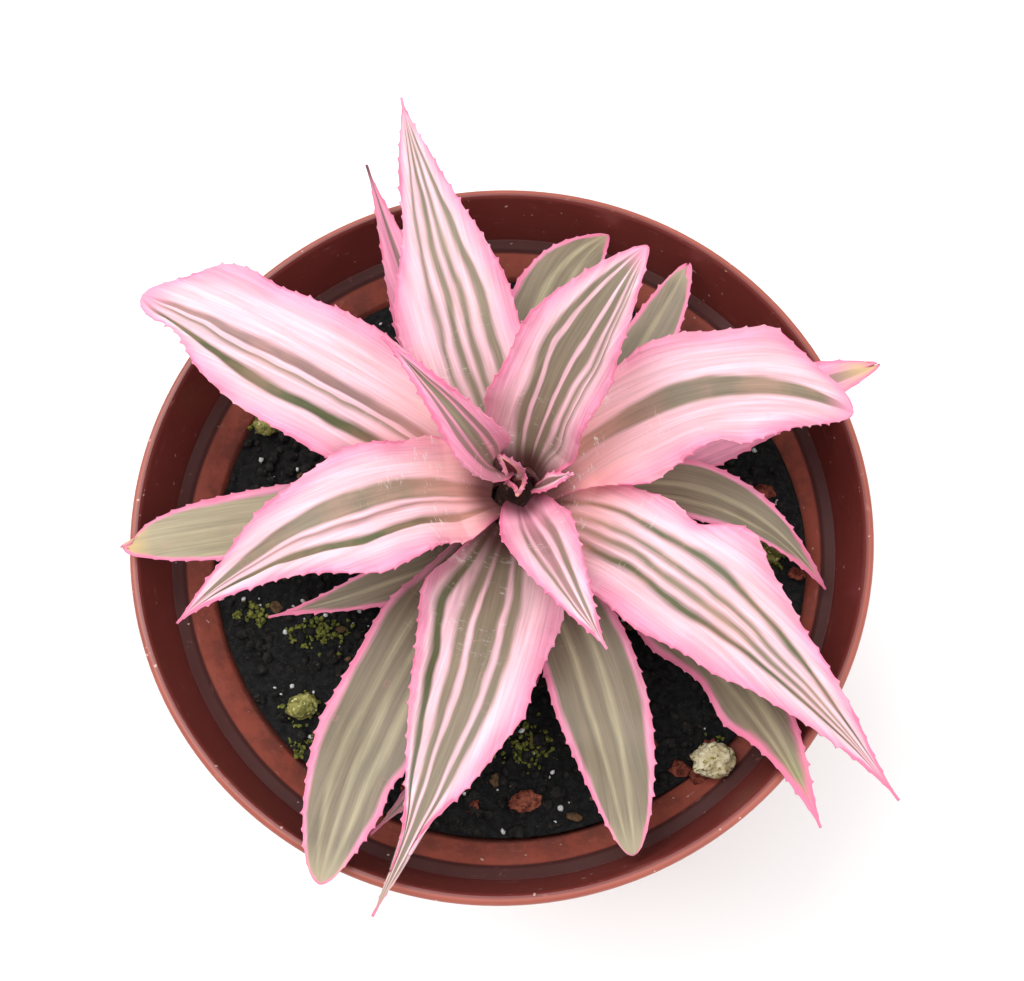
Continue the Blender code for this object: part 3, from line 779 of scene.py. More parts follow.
@dataclass
class Turned:
    """A piece turned about the pot's axis from a profile that runs down its outer side."""

    name: str
    profile: Sequence[tuple[float, float]]
    steps: int

    def build(self) -> bpy.types.Object:
        """Turns the profile.

        Returns:
            The turned object, its modifiers applied.
        """
        mesh = bpy.data.meshes.new(self.name)
        bm = bmesh.new()
        points = [bm.verts.new((radius * MM, 0.0, height * MM)) for radius, height in self.profile]
        for here, after in zip(points, points[1:]):
            bm.edges.new((here, after))
        bm.to_mesh(mesh)
        bm.free()
        piece = bpy.data.objects.new(self.name, mesh)
        bpy.context.scene.collection.objects.link(piece)
        turn = piece.modifiers.new("turn", "SCREW")
        turn.steps = self.steps
        turn.render_steps = self.steps
        turn.use_merge_vertices = True
        turn.merge_threshold = MERGE_DISTANCE
        only_selected(piece)
        bpy.ops.object.modifier_apply(modifier=turn.name)
        bpy.ops.object.mode_set(mode="EDIT")
        bpy.ops.mesh.select_all(action="SELECT")
        bpy.ops.mesh.remove_doubles(threshold=MERGE_DISTANCE)
        bpy.ops.mesh.normals_make_consistent(inside=False)
        bpy.ops.object.mode_set(mode="OBJECT")
        return piece


@dataclass
class Pot:
    """The nursery pot."""

    RIM_RADIUS = 60.0
    RIM_BEAD = 1.7
    COLLAR_INNER_RADIUS = 56.4
    SHELF_RADIUS = 54.6
    BASE_INNER_RADIUS = 41.0
    WALL = 1.5
    FLOOR = 2.4
    FOOT_RING_INNER = 32.0
    CENTRE_PAD_RADIUS = 12.0
    DRAIN_RECESS = 1.2
    DRAIN_HOLES = 8
    DRAIN_HOLE_RADIUS = 3.2
    DRAIN_CIRCLE_RADIUS = 24.0
    STEPS = 200

    def profile(self) -> list[tuple[float, float]]:
        """The pot's profile, from the axis up its inner wall, over the bead and down its outer side."""
        shoulder, ledge = RIM_HEIGHT - SHOULDER_DEPTH, RIM_HEIGHT - COLLAR_DEPTH
        mouth = self.RIM_RADIUS - self.RIM_BEAD
        collar, shelf, base = self.COLLAR_INNER_RADIUS, self.SHELF_RADIUS, self.BASE_INNER_RADIUS
        collar_out, shelf_out, base_out = collar + self.WALL, shelf + self.WALL, base + self.WALL
        shoulder_out = SHOULDER_RADIUS + self.WALL
        wall = [
            (0.0, self.FLOOR), (base - 1.5, self.FLOOR), (base - 0.5, self.FLOOR + 0.4),
            (base, self.FLOOR + 1.5), (SHOULDER_RADIUS - 0.05, shoulder - 0.4),
            (SHOULDER_RADIUS + 0.2, shoulder + 0.1), (shelf - 0.5, ledge - 1.1),
            (shelf - 0.2, ledge - 0.75), (shelf + 0.05, ledge - 0.3), (shelf + 0.35, ledge - 0.05),
            (collar - 0.3, ledge), (collar + 0.05, ledge + 0.25), (collar + 0.18, ledge + 0.8),
            (mouth - 0.05, RIM_HEIGHT - 0.9), (mouth + 0.08, RIM_HEIGHT - 0.35),
            (mouth + 0.35, RIM_HEIGHT - 0.06),
        ]
        bead = []
        for step in range(11):
            angle = math.radians(90 - 15 * step)
            bead.append((self.RIM_RADIUS + self.RIM_BEAD / 2 * (math.cos(angle) - 1),
                         RIM_HEIGHT - self.RIM_BEAD / 2 * (1 - math.sin(angle))))
        outside = [
            (mouth, RIM_HEIGHT - 2.2), (mouth - 0.05, RIM_HEIGHT - 2.6), (collar_out, ledge - 0.9),
            (collar_out - 0.35, ledge - 1.3), (shelf_out - 0.2, ledge - 2.2),
            (shoulder_out + 0.1, shoulder - self.WALL + 0.2),
            (shoulder_out - 0.02, shoulder - self.WALL - 0.4), (base_out, 1.4), (base_out - 0.3, 0.4),
            (base_out - 1.0, 0.0),
        ]
        ring, pad, recess = self.FOOT_RING_INNER, self.CENTRE_PAD_RADIUS, self.DRAIN_RECESS
        under = [
            (ring, 0.0), (ring - 0.4, 0.2),
            (ring - 0.6, recess),
            (pad + 0.6, recess), (pad + 0.3, 0.2),
            (pad, 0.0), (0.0, 0.0),
        ]
        return wall + bead + outside + under

    def build(self) -> bpy.types.Object:
        """Makes the pot with its drain holes.

        Returns:
            The finished piece.
        """
        piece = Turned("pot_shell", self.profile(), self.STEPS).build()
        for k in range(self.DRAIN_HOLES):
            angle = 2 * math.pi * k / self.DRAIN_HOLES
            place = Vector((math.cos(angle), math.sin(angle), 0.0)) * self.DRAIN_CIRCLE_RADIUS * MM
            bpy.ops.mesh.primitive_cylinder_add(vertices=40, radius=self.DRAIN_HOLE_RADIUS * MM,
                                                depth=0.012, location=place)
            tool = bpy.context.object
            cut = piece.modifiers.new("drain", "BOOLEAN")
            cut.operation = "DIFFERENCE"
            cut.object = tool
            only_selected(piece)
            bpy.ops.object.modifier_apply(modifier=cut.name)
            bpy.data.objects.remove(tool)
        piece.data.materials.clear()
        piece.data.materials.append(plastic_finish())
        only_selected(piece)
        bpy.ops.object.shade_smooth_by_angle(angle=math.radians(38))
        return finish_piece(piece, "pot_shell", ["pot"])


PEAT = GritFinish("peat", (12, 14, 16), (34, 34, 34), (64, 58, 48), 900.0, 0.10, 0.9, 0.0005)
CRUMBS = GritFinish("peat_crumbs", (14, 15, 17), (44, 42, 40), (74, 62, 48), 700.0, 0.12)
WHITE = GritFinish("perlite", (206, 208, 206), (240, 241, 238), (170, 170, 160), 1500.0, 0.05)
GREEN = GritFinish("moss", (60, 66, 22), (140, 144, 66), (190, 190, 120), 1700.0, 0.12)
RED = GritFinish("bark_bits", (84, 34, 26), (150, 80, 62), (60, 30, 24), 900.0, 0.14)
FIBRE = GritFinish("fibre", (70, 52, 36), (120, 94, 66), (40, 30, 22), 900.0, 0.10)
TAN = GritFinish("dry_stem", (38, 24, 22), (74, 48, 40), (120, 90, 72), 500.0, 0.06, 0.85)
PUMICE_PALE = GritFinish("pumice_pale", (176, 160, 118), (224, 216, 184), (130, 122, 60), 420.0, 0.16)
PUMICE_GREEN = GritFinish("pumice_green", (92, 92, 44), (170, 166, 96), (206, 204, 150), 520.0, 0.14)
BARK_RED = GritFinish("bark_red", (92, 44, 34), (160, 92, 72), (66, 34, 26), 620.0, 0.16)

CRUMB_COUNT, GRAIN_COUNT, FIBRE_COUNT = 1300, 260, 90
TUFTS_PER_AREA = 9
# Each patch of moss: its middle, its width and its depth
MOSS_PATCHES = ((-33.1, -12.7, 5.0, 2.6), (-36.4, -25.0, 2.6, 2.6), (-36.9, -31.4, 2.2, 2.2),
                (0.4, -36.0, 4.2, 3.4), (-43.6, -8.0, 3.0, 2.0), (-41.0, 27.5, 2.6, 2.2),
                (45.3, -8.6, 3.0, 3.0), (31.0, -41.0, 3.0, 2.6), (-30.0, 12.0, 3.0, 2.0),
                (14.0, 44.0, 2.5, 2.0))
BARK_PLACES = ((27.0, -44.0), (24.0, -42.5), (29.5, -40.0), (48.5, -13.5), (-20.0, -40.0), (12.0, 40.0),
               (-44.0, 10.0), (20.0, -38.0), (40.0, -24.0), (-10.0, -44.0), (36.0, 22.0), (46.0, 2.0))

# The soil's broad form, as the solid has it
RISE_AZIMUTH = -22.0
RISE_SPREAD = 50.0
MOUND = 3.2
MOUND_POWER = 1.3
RIGHT_RISE = 3.4
CLIMB = 1.9
BUMP_HEIGHT = 0.8
BUMP_SCALE = 0.16
BUMP_SEED = 3.1
COARSE_CRUMB, MEDIUM_CRUMB, FINE_CRUMB, CRUMB_SINK = 1.5, 0.55, 0.25, 0.35


def right_rise(x: float, y: float) -> float:
    """How far the soil climbs the shoulder at this side: 1 at the right and front right, 0 elsewhere."""
    turn = math.degrees(math.atan2(y, x)) - RISE_AZIMUTH
    return max(0.0, math.cos(math.radians(min(90.0, abs(turn) * 90 / RISE_SPREAD))))


def soil_height(x: float, y: float) -> float:
    """The height of the soil's broad form above the pot's base, in millimetres."""
    reach = min(1.0, math.hypot(x, y) / SHOULDER_RADIUS)
    mound = MOUND * (1 - reach) ** MOUND_POWER
    right = RIGHT_RISE * right_rise(x, y) * reach ** 2
    at = Vector((x * BUMP_SCALE, y * BUMP_SCALE, BUMP_SEED))
    bumps = BUMP_HEIGHT * noise.noise(at) * min(1.0, 8 * (1 - reach))
    return SOIL_TOP + mound + right + bumps


def crumb_height(x: float, y: float) -> float:
    """The soil's crumbs on top of its broad form, in millimetres."""
    at = Vector((x, y, 0.0))
    coarse = abs(noise.noise(at * 0.42 + Vector((9.0, 2.0, 0.0))))
    medium = noise.noise(at * 1.1 + Vector((1.0, 5.0, 2.0)))
    fine = noise.noise(at * 2.7 + Vector((4.0, 0.0, 8.0)))
    return COARSE_CRUMB * coarse + MEDIUM_CRUMB * medium + FINE_CRUMB * fine - CRUMB_SINK


@dataclass
class Soil:
    """The soil with its loose crumbs, white grains, bark and moss."""

    groups: Groups
    RINGS = 120
    STEPS = 300
    HOLE = 4.8
    EDGE = SHOULDER_RADIUS - 0.4 - GAP
    HOLE_DEPTH = 12.0

    def bed(self) -> bpy.types.Object:
        """Makes the bed: a turned form whose top follows the crumbs.

        Returns:
            The finished piece.
        """
        radii = np.linspace(self.HOLE, self.EDGE, self.RINGS + 1)
        low = Pot.FLOOR + GAP
        foot_share = 4 / (RIM_HEIGHT - SHOULDER_DEPTH - Pot.FLOOR)
        foot = Pot.BASE_INNER_RADIUS + (SHOULDER_RADIUS - Pot.BASE_INNER_RADIUS) * foot_share - 0.6
        profile = [(0.0, SOIL_TOP - self.HOLE_DEPTH), (self.HOLE, SOIL_TOP - self.HOLE_DEPTH)]
        profile += [(float(radius), SOIL_TOP) for radius in radii]
        profile += [(self.EDGE, SOIL_TOP - 0.7), (foot, low + 4),
                    (Pot.BASE_INNER_RADIUS - 2.2, low), (0.0, low)]
        piece = Turned("soil_bed", profile, self.STEPS).build()
        points = get_points(piece.data) / MM
        for row in points:
            x, y, z = row
            reach = math.hypot(x, y)
            top = z > SOIL_TOP - 0.1
            if top:
                calm = min(1.0, max(0.0, (self.EDGE - reach) / 2.5)) * min(1.0, max(0.0, reach - self.HOLE))
                row[2] = soil_height(x, y) + crumb_height(x, y) * (0.25 + 0.75 * calm)
            if top and reach > self.EDGE - 4:
                near = (reach - self.EDGE + 4) / 4
                widen = 1 + near * CLIMB * right_rise(x, y) / self.EDGE
                row[0] *= widen
                row[1] *= widen
            if z > SOIL_TOP - self.HOLE_DEPTH - 1:
                inner = min(1.0, max(0.0, (self.EDGE - reach) / (self.EDGE - self.HOLE)))
                row[0] += CROWN[0] * inner
                row[1] += CROWN[1] * inner
        set_points(piece.data, points)
        put_on(piece, PEAT.build(self.groups))
        return finish_piece(piece, "soil_bed", ["soil"])

    def places(self, rng: np.random.Generator, count: int) -> list[tuple[float, float]]:
        """Picks places on the soil, clear of the stem."""
        found: list[tuple[float, float]] = []
        while len(found) < count:
            x, y = rng.uniform(-50, 50, 2)
            if math.hypot(x, y) < self.EDGE - 0.5 and math.hypot(x - CROWN[0], y - CROWN[1]) > 7.5:
                found.append((float(x), float(y)))
        return found

    def scatter(self, name: str, finish: GritFinish, places: Sequence[tuple[float, float]],
                size: tuple[float, float], flat: float, seed: int, rough: float = 0.35,
                detail: int = 1, rise: float = 0.25) -> bpy.types.Object:
        """Scatters small lumps on the soil and joins them into one piece.

        Args:
            name: The piece's name.
            finish: Its finish.
            places: Where the lumps lie.
            size: The smallest and largest radius in millimetres.
            flat: How flat a lump is, as height over width.
            seed: The seed of the turns and sizes.
            rough: How far a lump departs from a ball.
            detail: The subdivisions of the first ball.
            rise: How high a lump stands out of the soil, in its own radii.

        Returns:
            The finished piece.
        """
        rng = np.random.default_rng(seed)
        bpy.ops.mesh.primitive_ico_sphere_add(subdivisions=detail, radius=1.0)
        model = bpy.context.object
        ball = get_points(model.data)
        faces = np.array([tuple(face.vertices) for face in model.data.polygons])
        bpy.data.objects.remove(model)
        all_points, all_faces = [], []
        for number, (x, y) in enumerate(places):
            radius = rng.uniform(size[0], size[1]) * rng.uniform(0.75, 1.0)
            shift = Vector((number * 3.1, seed, 0.0))
            swell = 1 + rough * np.array([noise.noise(Vector(p) * 1.7 + shift) for p in ball])
            lump = ball * swell[:, None] * np.array((1.0, rng.uniform(0.6, 0.95), flat)) * radius
            turn = np.array(Matrix.Rotation(rng.uniform(0, 2 * math.pi), 3, "Z")
                            @ Matrix.Rotation(rng.uniform(-0.5, 0.5), 3, "X"))
            top = soil_height(x, y) + crumb_height(x, y)
            all_points.append(lump @ turn.T + np.array((x, y, top + rise * radius * flat)))
            all_faces.append(faces + number * len(ball))
        mesh = bpy.data.meshes.new(name)
        mesh.from_pydata((np.concatenate(all_points) * MM).tolist(), [], np.concatenate(all_faces).tolist())
        mesh.update()
        piece = bpy.data.objects.new(name, mesh)
        bpy.context.scene.collection.objects.link(piece)
        put_on(piece, finish.build(self.groups))
        return finish_piece(piece, name)

    def dress(self) -> None:
        """Adds the crumbs, the white grains, the moss and the bark."""
        rng = np.random.default_rng(5)
        self.scatter("soil_crumbs", CRUMBS, self.places(rng, CRUMB_COUNT), (0.35, 1.35), 0.8,
                     11, 0.5, 2)
        self.scatter("perlite_grains", WHITE, self.places(rng, GRAIN_COUNT), (0.16, 0.66), 0.85,
                     12, 0.4, 2, 0.5)
        tufts: list[tuple[float, float]] = []
        for x, y, wide, deep in MOSS_PATCHES:
            count = int(TUFTS_PER_AREA * wide * deep)
            spread = rng.normal(0.0, 0.5, (count, 2)) * np.array((wide, deep))
            tufts += [(x + float(dx), y + float(dy)) for dx, dy in spread
                      if math.hypot(x + dx, y + dy) < self.EDGE + 0.5]
        self.scatter("moss_tufts", GREEN, tufts, (0.2, 0.62), 0.9, 13, 0.6, 2, 0.5)
        self.scatter("bark_bits", RED, BARK_PLACES, (1.0, 2.3), 0.4, 14, 0.5, 3, 0.6)
        self.scatter("fibre_bits", FIBRE, self.places(rng, FIBRE_COUNT), (0.6, 1.6), 0.22,
                     15, 0.4, 2, 1.2)


@dataclass(frozen=True)
class GritForm:
    """A larger lump on the soil, as its solid has it."""

    name: str
    at: tuple[float, float]
    size: tuple[float, float, float]
    slot: Slot
    finish: GritFinish

    def build(self, groups: Groups) -> bpy.types.Object:
        """Makes the lump with fine pits.

        Args:
            groups: The shared node groups.

        Returns:
            The finished piece.
        """
        bpy.ops.mesh.primitive_ico_sphere_add(subdivisions=5, radius=1.0)
        piece = bpy.context.object
        seed = sum(map(ord, self.name)) * 0.37
        x, y = self.at
        wide, deep = self.size[0], self.size[1]
        floor = max(soil_height(x + dx, y + dy) for dx in (-wide, 0, wide) for dy in (-deep, 0, deep))
        if math.hypot(x, y) + wide > SHOULDER_RADIUS:
            floor = RIM_HEIGHT - COLLAR_DEPTH - 0.9
        points = get_points(piece.data)
        for row in points:
            at = Vector(row)
            swell = 1 + 0.22 * noise.noise(at * 1.9 + Vector((seed, 0.0, 0.0)))
            swell += 0.10 * noise.noise(at * 4.1 + Vector((0.0, seed, 0.0)))
            pit = max(0.0, noise.noise(at * 7.3 + Vector((seed, seed, 0.0))) - 0.12)
            swell -= 0.30 * pit
            row[:] = [row[i] * self.size[i] * swell for i in range(3)]
            row[2] = max(row[2], -0.55 * self.size[2]) + floor + GAP + 0.55 * self.size[2]
            row[0] += x
            row[1] += y
        set_points(piece.data, points)
        put_on(piece, self.finish.build(groups))
        return finish_piece(piece, f"{self.name}_rough", [self.name])


@dataclass
class Stem:
    """The short stem, ringed with the scars of old leaves."""

    groups: Groups
    LEVELS = (6.98, -25.6, 90)
    SHRINK = 0.98
    SCAR_DEPTH = 0.12
    SCAR_RATE = 4.2
    STEPS = 48

    def build(self) -> bpy.types.Object:
        """Makes the stem.

        Returns:
            The finished piece.
        """
        foot = RIM_HEIGHT - 27.0 + GAP
        profile = [(0.0, RIM_HEIGHT + 7.0)]
        for level in np.linspace(*self.LEVELS):
            scar = self.SCAR_DEPTH * math.sin(level * self.SCAR_RATE) * min(1.0, (7.0 - level) / 3)
            profile.append((stem_radius(level) * self.SHRINK + scar, RIM_HEIGHT + float(level)))
        profile += [(3.5, foot), (0.0, foot)]
        piece = Turned("stem_core", profile, self.STEPS).build()
        points = get_points(piece.data) / MM
        points[:, 0] += CROWN[0]
        points[:, 1] += CROWN[1]
        set_points(piece.data, points)
        put_on(piece, TAN.build(self.groups))
        return finish_piece(piece, "stem_core", ["stem"])


OLIVE_LOOKS = dict(ground=Tone.OLIVE, base=Tone.OLIVE_DARK, tip=Tone.OLIVE_PALE, base_reach=0.3,
                   margin_width=0.8, scurf=0.2, softness=0.06, wash=0.10, slot=Slot.OLIVE_LEAF)
BUD_LOOKS = dict(ground=Tone.SALMON, base=Tone.MAROON, base_reach=0.7, tip=Tone.SALMON,
                 margin_width=0.12, bud=True)


def pink(name: str, foot: float, via: Place, end: Place, shape: Sequence[float], bands: dict,
         lobes: Sequence[tuple] = (), slot: Slot = Slot.PINK_LEAF, torn: float = 0.0, bud: bool = False,
         **looks: object) -> LeafForm:
    """Makes a leaf's form with a pink finish.

    Args:
        name: The leaf's name.
        foot: The height of its base.
        via: The point that its midrib passes.
        end: The point of its tip.
        shape: Its half-width, where that lies, its fold, its waves, its bluntness and its turn.
        bands: For each tone, the middle and the half-width of its stripes.
        lobes: The side, the place, the size and the spread of each lobe of its margin.
        slot: Its material slot.
        torn: How ragged its tip is, in millimetres.
        bud: Whether it is a bud in the heart.
        **looks: What else its finish sets.

    Returns:
        The form.
    """
    stripes = tuple(Band(*place, tone) for tone, places in bands.items() for place in places)
    label = "heart_bud" if bud else name.removeprefix("leaf_")
    finish = LeafFinish(f"{label}_finish", stripes, **looks)
    return LeafForm(name, foot, via, end, *shape, finish, slot, tuple(Lobe(*lobe) for lobe in lobes), torn, bud)


def olive(name: str, *figures: object, **looks: object) -> LeafForm:
    """Makes a leaf's form with an olive finish and a thin pink margin, from the same figures."""
    return pink(name, *figures, **{**OLIVE_LOOKS, **looks})


LEAF_FORMS: tuple[LeafForm, ...] = (
    pink("leaf_heart_tip", 6.3, (8.6, -0.9, 14.8), (11.6, -0.9, 17.2), (1.5, 0.45, 0.3, 0.1, 0.0, 0),
         {Tone.MAUVE: ((0.0, 0.5),)}, base=Tone.MAROON, base_reach=0.6),
    pink("leaf_heart_left", 5.9, (-5.0, 8.8, 23.5), (-14.0, 21.5, 24.0), (4.2, 0.35, 0.65, 0.2, 0.0, -18),
         {Tone.MAUVE: ((-0.5, 0.12), (0.5, 0.12)), Tone.OLIVE: ((0.0, 0.28),)}, ground=Tone.PINK,
         base=Tone.MAUVE),
    pink("leaf_heart_front", 4.4, (8.0, -17.5, 20.0), (12.6, -27.4, 18.0), (5.6, 0.25, 0.3, 0.3, 0.0, 0),
         {Tone.OLIVE: ((-0.4, 0.07), (0.4, 0.12)), Tone.MAUVE: ((-0.06, 0.17),)}, base=Tone.PINK),
    pink("leaf_heart_back", 4.0, (13.2, 14.6, 26.0), (25.0, 24.5, 36.0), (8.2, 0.55, 0.25, 0.4, 0.3, 0),
         {Tone.OLIVE: ((-0.56, 0.11), (-0.26, 0.12), (0.1, 0.2), (0.44, 0.1))}, lobes=((1, 0.22, 2.4, 0.12),
          (-1, 0.16, 1.6, 0.1)), base=Tone.OLIVE, scurf=0.5),
    pink("leaf_left_front", 2.8, (-26.3, -3.8, 17.5), (-51.0, -13.0, 5.0), (9.0, 0.42, 0.18, 0.7, 0.05, 0),
         {Tone.OLIVE: ((-0.12, 0.2),), Tone.MAUVE: ((0.2, 0.05),), Tone.OLIVE_DARK: ((0.56, 0.09),)},
         lobes=((1, 0.42, 2.2, 0.18), (-1, 0.14, 2.4, 0.1), (1, 0.12, 2.0, 0.08)), scurf=0.7),
    pink("leaf_right", 0.8, (34.7, 9.8, 16.3), (56.8, 6.2, 9.0), (9.9, 0.55, 0.16, 1.2, 0.45, 0),
         {Tone.OLIVE: ((0.05, 0.2),)}, lobes=((-1, 0.27, 2.4, 0.1), (-1, 0.52, -1.2, 0.06),
          (1, 0.72, 1.2, 0.08), (1, 0.12, 2.0, 0.08)), scurf=1.0, base_reach=0.45),
    pink("leaf_left_back", 0.8, (-28.9, 22.1, 19.3), (-51.5, 37.4, 16.5), (10.3, 0.58, 0.12, 1.0, 0.5, 0),
         {Tone.MAUVE: ((-0.02, 0.1),), Tone.OLIVE: ((0.16, 0.05),), Tone.OLIVE_DARK: ((0.52, 0.1),)},
         lobes=((-1, 0.8, 2.2, 0.1), (-1, 0.32, 1.6, 0.12), (1, 0.84, -2.4, 0.1), (1, 0.36, 1.8, 0.12)),
         scurf=0.3, base_reach=0.4),
    pink("leaf_back", -1.2, (-4.4, 37.4, 14.0), (-7.7, 67.5, 17.6), (9.8, 0.46, 0.14, 0.6, 0.0, 0),
         {Tone.OLIVE: ((-0.52, 0.09), (-0.2, 0.07), (0.06, 0.08), (0.34, 0.05))},
         lobes=((1, 0.64, -2.0, 0.14), (1, 0.2, 2.0, 0.1), (-1, 0.2, 2.4, 0.1)), scurf=0.6,
         base=Tone.OLIVE_PALE),
    pink("leaf_right_front", -1.2, (30.7, -22.2, 11.0), (52.5, -52.0, 3.5), (10.8, 0.45, 0.14, 1.2, 0.0, 0),
         {Tone.OLIVE_DARK: ((-0.36, 0.07), (0.42, 0.07)), Tone.OLIVE: ((-0.12, 0.07), (0.1, 0.06))},
         lobes=((1, 0.26, -1.4, 0.1), (1, 0.4, -2.2, 0.05), (1, 0.5, 1.4, 0.05), (-1, 0.15, 3.0, 0.1),
          (-1, 0.62, 1.0, 0.06))),
    pink("leaf_front", -4.2, (-10.4, -34.5, 6.5), (-25.0, -58.7, 2.8), (9.8, 0.36, 0.16, 1.1, 0.0, 0),
         {Tone.OLIVE_DARK: ((-0.7, 0.08),), Tone.OLIVE: ((-0.36, 0.1), (0.0, 0.2), (0.36, 0.1))},
         lobes=((1, 0.2, 2.4, 0.1), (-1, 0.22, 2.4, 0.1), (1, 0.8, -1.9, 0.12), (-1, 0.8, -1.4, 0.12),
          (1, 0.48, 0.9, 0.05)), base=Tone.OLIVE, base_reach=0.3, tip=Tone.OLIVE_PALE),
    olive("leaf_low_front_left", -6.1, (-21.6, -29.6, 0.0), (-32.2, -53.5, 2.8), (8.0, 0.62, 0.1, 0.4, 0.55,
           0), {Tone.OLIVE_PALE: ((0.0, 0.08), (-0.4, 0.06), (0.42, 0.1))}, lobes=((-1, 0.3, 1.0, 0.1),
           (1, 0.72, -1.0, 0.05))),
    olive("leaf_low_front", -7.2, (11.9, -31.0, -1.8), (13.5, -55.0, -2.4), (7.4, 0.55, 0.1, 0.8, 0.55, 0),
          {Tone.OLIVE_PALE: ((0.2, 0.06), (-0.3, 0.06))}),
    olive("leaf_low_left", -7.4, (-33.0, 3.7, -2.5), (-59.1, 1.0, 2.6), (6.0, 0.6, 0.1, 0.3, 0.85, 0),
          {Tone.OLIVE_PALE: ((-0.2, 0.1),)}, tip=Tone.STRAW, tip_reach=0.07, ground=Tone.OLIVE_PALE,
          base=Tone.OLIVE, torn=2.4),
    olive("leaf_low_right", -6.8, (36.0, -1.6, -2.6), (51.8, -17.4, -9.0), (5.0, 0.5, 0.12, 0.3, 0.15, 0),
          {Tone.OLIVE_PALE: ((0.1, 0.08), (-0.4, 0.06))}),
    olive("leaf_low_back", -6.0, (12.6, 35.0, 0.0), (25.4, 50.2, -4.5), (7.0, 0.62, 0.1, 0.5, 0.35, 0),
          {Tone.OLIVE_PALE: ((0.3, 0.1), (-0.2, 0.06))}),
    olive("leaf_low_right_back", -8.9, (33.0, 11.5, -5.0), (64.0, 16.0, 3.4), (7.8, 0.6, 0.08, 0.6, 0.45, 0),
          {Tone.MAUVE: ((0.0, 0.3),)}, ground=Tone.PINK, tip=Tone.STRAW, tip_reach=0.1, torn=2.0),
    olive("leaf_low_right_front", -9.4, (31.4, -26.0, -5.2), (40.1, -54.4, 5.4), (6.2, 0.62, 0.1, 0.8, 0.05,
           0), {Tone.OLIVE_PALE: ((0.1, 0.14), (-0.35, 0.08))}, lobes=((-1, 0.42, 1.4, 0.08),
           (-1, 0.6, -0.8, 0.05), (-1, 0.72, 1.0, 0.05)), tip=Tone.LEAF_GREEN, tip_reach=0.2,
          margin_width=1.6),
    olive("leaf_low_back_right", -10.6, (26.0, 25.6, -7.8), (38.2, 42.0, -3.6), (4.8, 0.6, 0.12, 0.2, 0.6, 0),
          {Tone.OLIVE_PALE: ((0.1, 0.1),)}, torn=1.6),
    pink("leaf_low_back_left", -8.6, (-8.0, 33.0, -6.0), (-15.5, 63.5, 6.0), (5.4, 0.6, 0.25, 0.2, 0.0, 0),
         {Tone.MAUVE: ((0.0, 0.2),)}, ground=Tone.PINK, base=Tone.OLIVE, base_reach=0.6, tip=Tone.MAROON,
         tip_reach=0.06, slot=Slot.OLIVE_LEAF),
    olive("leaf_small_left", -10.4, (-18.5, -7.0, -9.2), (-40.0, -10.5, -9.0), (4.0, 0.55, 0.12, 0.2, 0.0, 0),
          {Tone.OLIVE_PALE: ((0.0, 0.1),)}, base=Tone.OLIVE_DARK),
    olive("leaf_small_front", -11.4, (-2.0, -24.0, -10.0), (-26.0, -47.0, -9.0), (5.4, 0.62, 0.1, 0.3, 0.0,
           0), {Tone.MAUVE: ((0.0, 0.24),)}, ground=Tone.PINK, base=Tone.OLIVE_DARK),
)

# Two young leaves in the heart, which no solid stands for
LEAF_BUDS: tuple[LeafForm, ...] = (
    pink("heart_bud_back", 6.9, (2.0, 4.4, 9.6), (0.4, 6.2, 11.4), (1.9, 0.3, 0.9, 0.1, 0.0, 0),
         {Tone.MAROON: ((0.0, 0.6),)}, **BUD_LOOKS),
    pink("heart_bud_front", 6.9, (3.4, 0.4, 9.2), (3.0, -1.2, 10.8), (1.8, 0.3, 0.9, 0.1, 0.0, 0),
         {Tone.MAROON: ((0.0, 0.6),)}, **BUD_LOOKS),
)

GRIT_FORMS: tuple[GritForm, ...] = (
    GritForm("pumice_right_front", (29.1, -42.0), (3.4, 2.8, 2.2), Slot.PUMICE, PUMICE_PALE),
    GritForm("pumice_right", (45.0, -8.4), (2.2, 2.6, 1.7), Slot.PUMICE, PUMICE_GREEN),
    GritForm("pumice_left", (-39.5, 26.0), (2.3, 2.0, 1.6), Slot.PUMICE, PUMICE_GREEN),
    GritForm("pumice_left_front", (-36.4, -25.0), (2.6, 2.1, 1.6), Slot.PUMICE, PUMICE_GREEN),
    GritForm("bark_chip_front", (-1.5, -44.5), (2.6, 1.6, 1.0), Slot.BARK, BARK_RED),
)


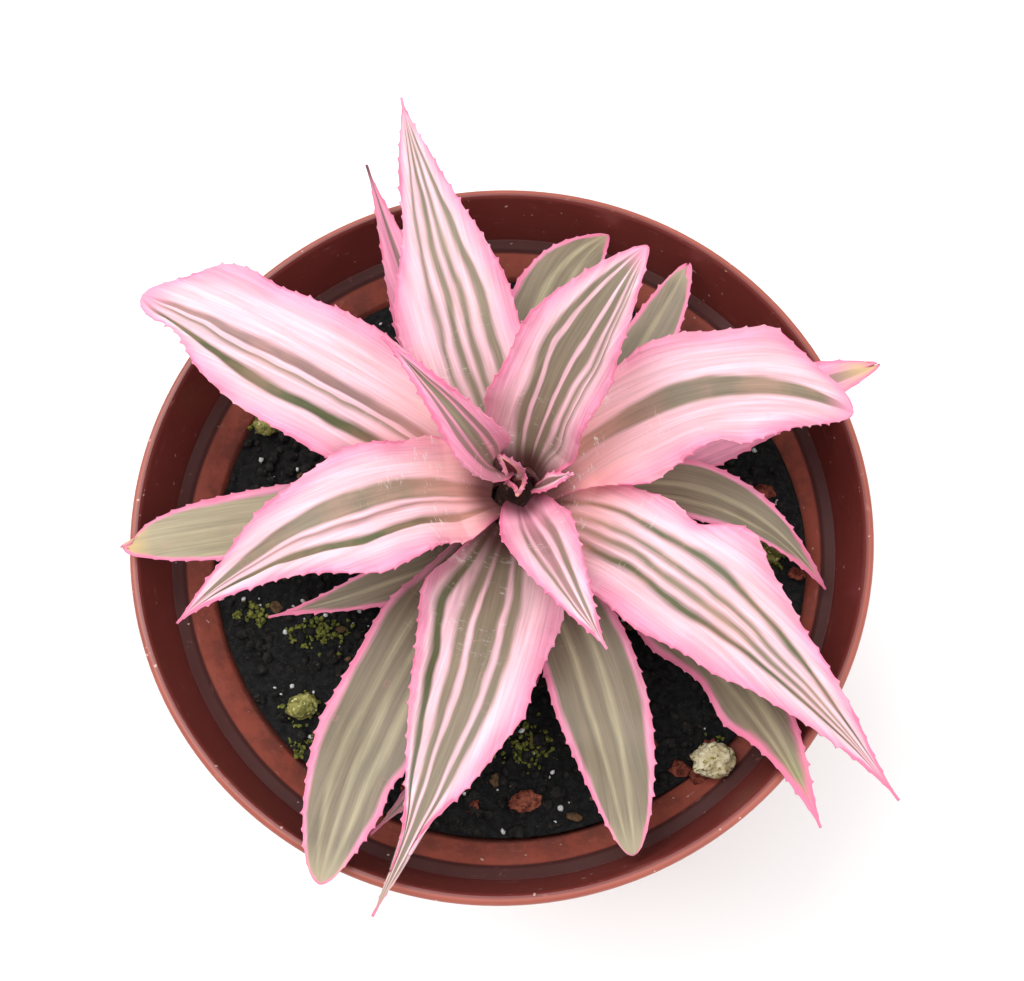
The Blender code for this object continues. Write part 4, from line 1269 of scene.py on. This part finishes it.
@dataclass
class Studio:
    """The pale floor, the soft lights and the camera."""

    CAMERA_AT = (0.0, -0.05563, (RIM_HEIGHT + 179.27) * MM)
    RIGHT = (0.99250, -0.11956, -0.02543)
    UP = (0.12151, 0.94248, 0.31139)
    FORWARD = (0.01326, 0.31214, -0.94994)
    LENS = 40.89
    # Each light: its name, its place in metres, the side of its square and its power in watts
    LIGHTS = (("key", (-0.45, 0.35, 0.95), 0.8, 7.0), ("fill", (0.7, -0.5, 0.8), 0.9, 3.6),
              ("top", (0.0, -0.1, 1.3), 1.2, 6.4))
    SKY = 0.62

    def build(self) -> None:
        """Makes the stage."""
        bpy.ops.mesh.primitive_plane_add(size=6.0, location=(0, 0, 0))
        floor = bpy.context.object
        floor.name = "floor"
        made, nodes, shader = material_start("floor_paper")
        tint = nodes.mix(nodes.noise(nodes.object_coords(), 3.0), (0.93, 0.93, 0.93, 1), (0.96, 0.96, 0.96, 1))
        nodes.fill(shader, {"Base Color": tint, "Roughness": 0.9})
        floor.data.materials.append(made)
        for lamp in self.LIGHTS:
            self.light(*lamp)
        world = bpy.data.worlds.new("studio")
        world.use_nodes = True
        sky = world.node_tree.nodes["Background"]
        Nodes(world.node_tree).fill(sky, {"Color": (1.0, 1.0, 1.0, 1.0), "Strength": self.SKY})
        bpy.context.scene.world = world
        bpy.context.scene.view_settings.view_transform = "Standard"
        self.camera()

    def light(self, name: str, place: Place, size: float, power: float) -> None:
        """Adds a soft light that faces the plant.

        Args:
            name: The light's name.
            place: Where it hangs, in metres.
            size: The side of its square, in metres.
            power: Its power in watts.
        """
        lamp = bpy.data.lights.new(name, "AREA")
        lamp.size = size
        lamp.energy = power
        made = bpy.data.objects.new(name, lamp)
        made.location = place
        aim = Vector((0.0, 0.0, 0.09)) - Vector(place)
        made.rotation_euler = aim.to_track_quat("-Z", "Y").to_euler()
        bpy.context.scene.collection.objects.link(made)

    def camera(self) -> None:
        """Places the camera as the photograph was taken."""
        data = bpy.data.cameras.new("camera")
        data.sensor_width = 36.0
        data.lens = self.LENS
        data.clip_start = 0.01
        made = bpy.data.objects.new("camera", data)
        right, up, forward = (Vector(axis).normalized() for axis in (self.RIGHT, self.UP, self.FORWARD))
        turn = Matrix((right, up, -forward)).transposed()
        made.matrix_world = Matrix.Translation(self.CAMERA_AT) @ turn.to_4x4()
        bpy.context.scene.collection.objects.link(made)
        bpy.context.scene.camera = made


@dataclass
class EarthStar:
    """The whole potted plant."""

    groups: Groups

    def build(self) -> None:
        """Makes every piece."""
        Pot().build()
        soil = Soil(self.groups)
        soil.bed()
        soil.dress()
        Stem(self.groups).build()
        underside = underside_finish()
        for index, form in enumerate(LEAF_FORMS + LEAF_BUDS):
            Leaf(form, index).build(self.groups, underside)
        for lump in GRIT_FORMS:
            lump.build(self.groups)


def main() -> None:
    """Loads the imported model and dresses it."""
    logging.basicConfig(level=logging.INFO)
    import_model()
    for obj in bpy.context.selected_objects:
        obj.select_set(False)
    Studio().build()
    EarthStar(Groups()).build()
    bpy.context.view_layer.update()


if __name__ == "__main__":
    main()
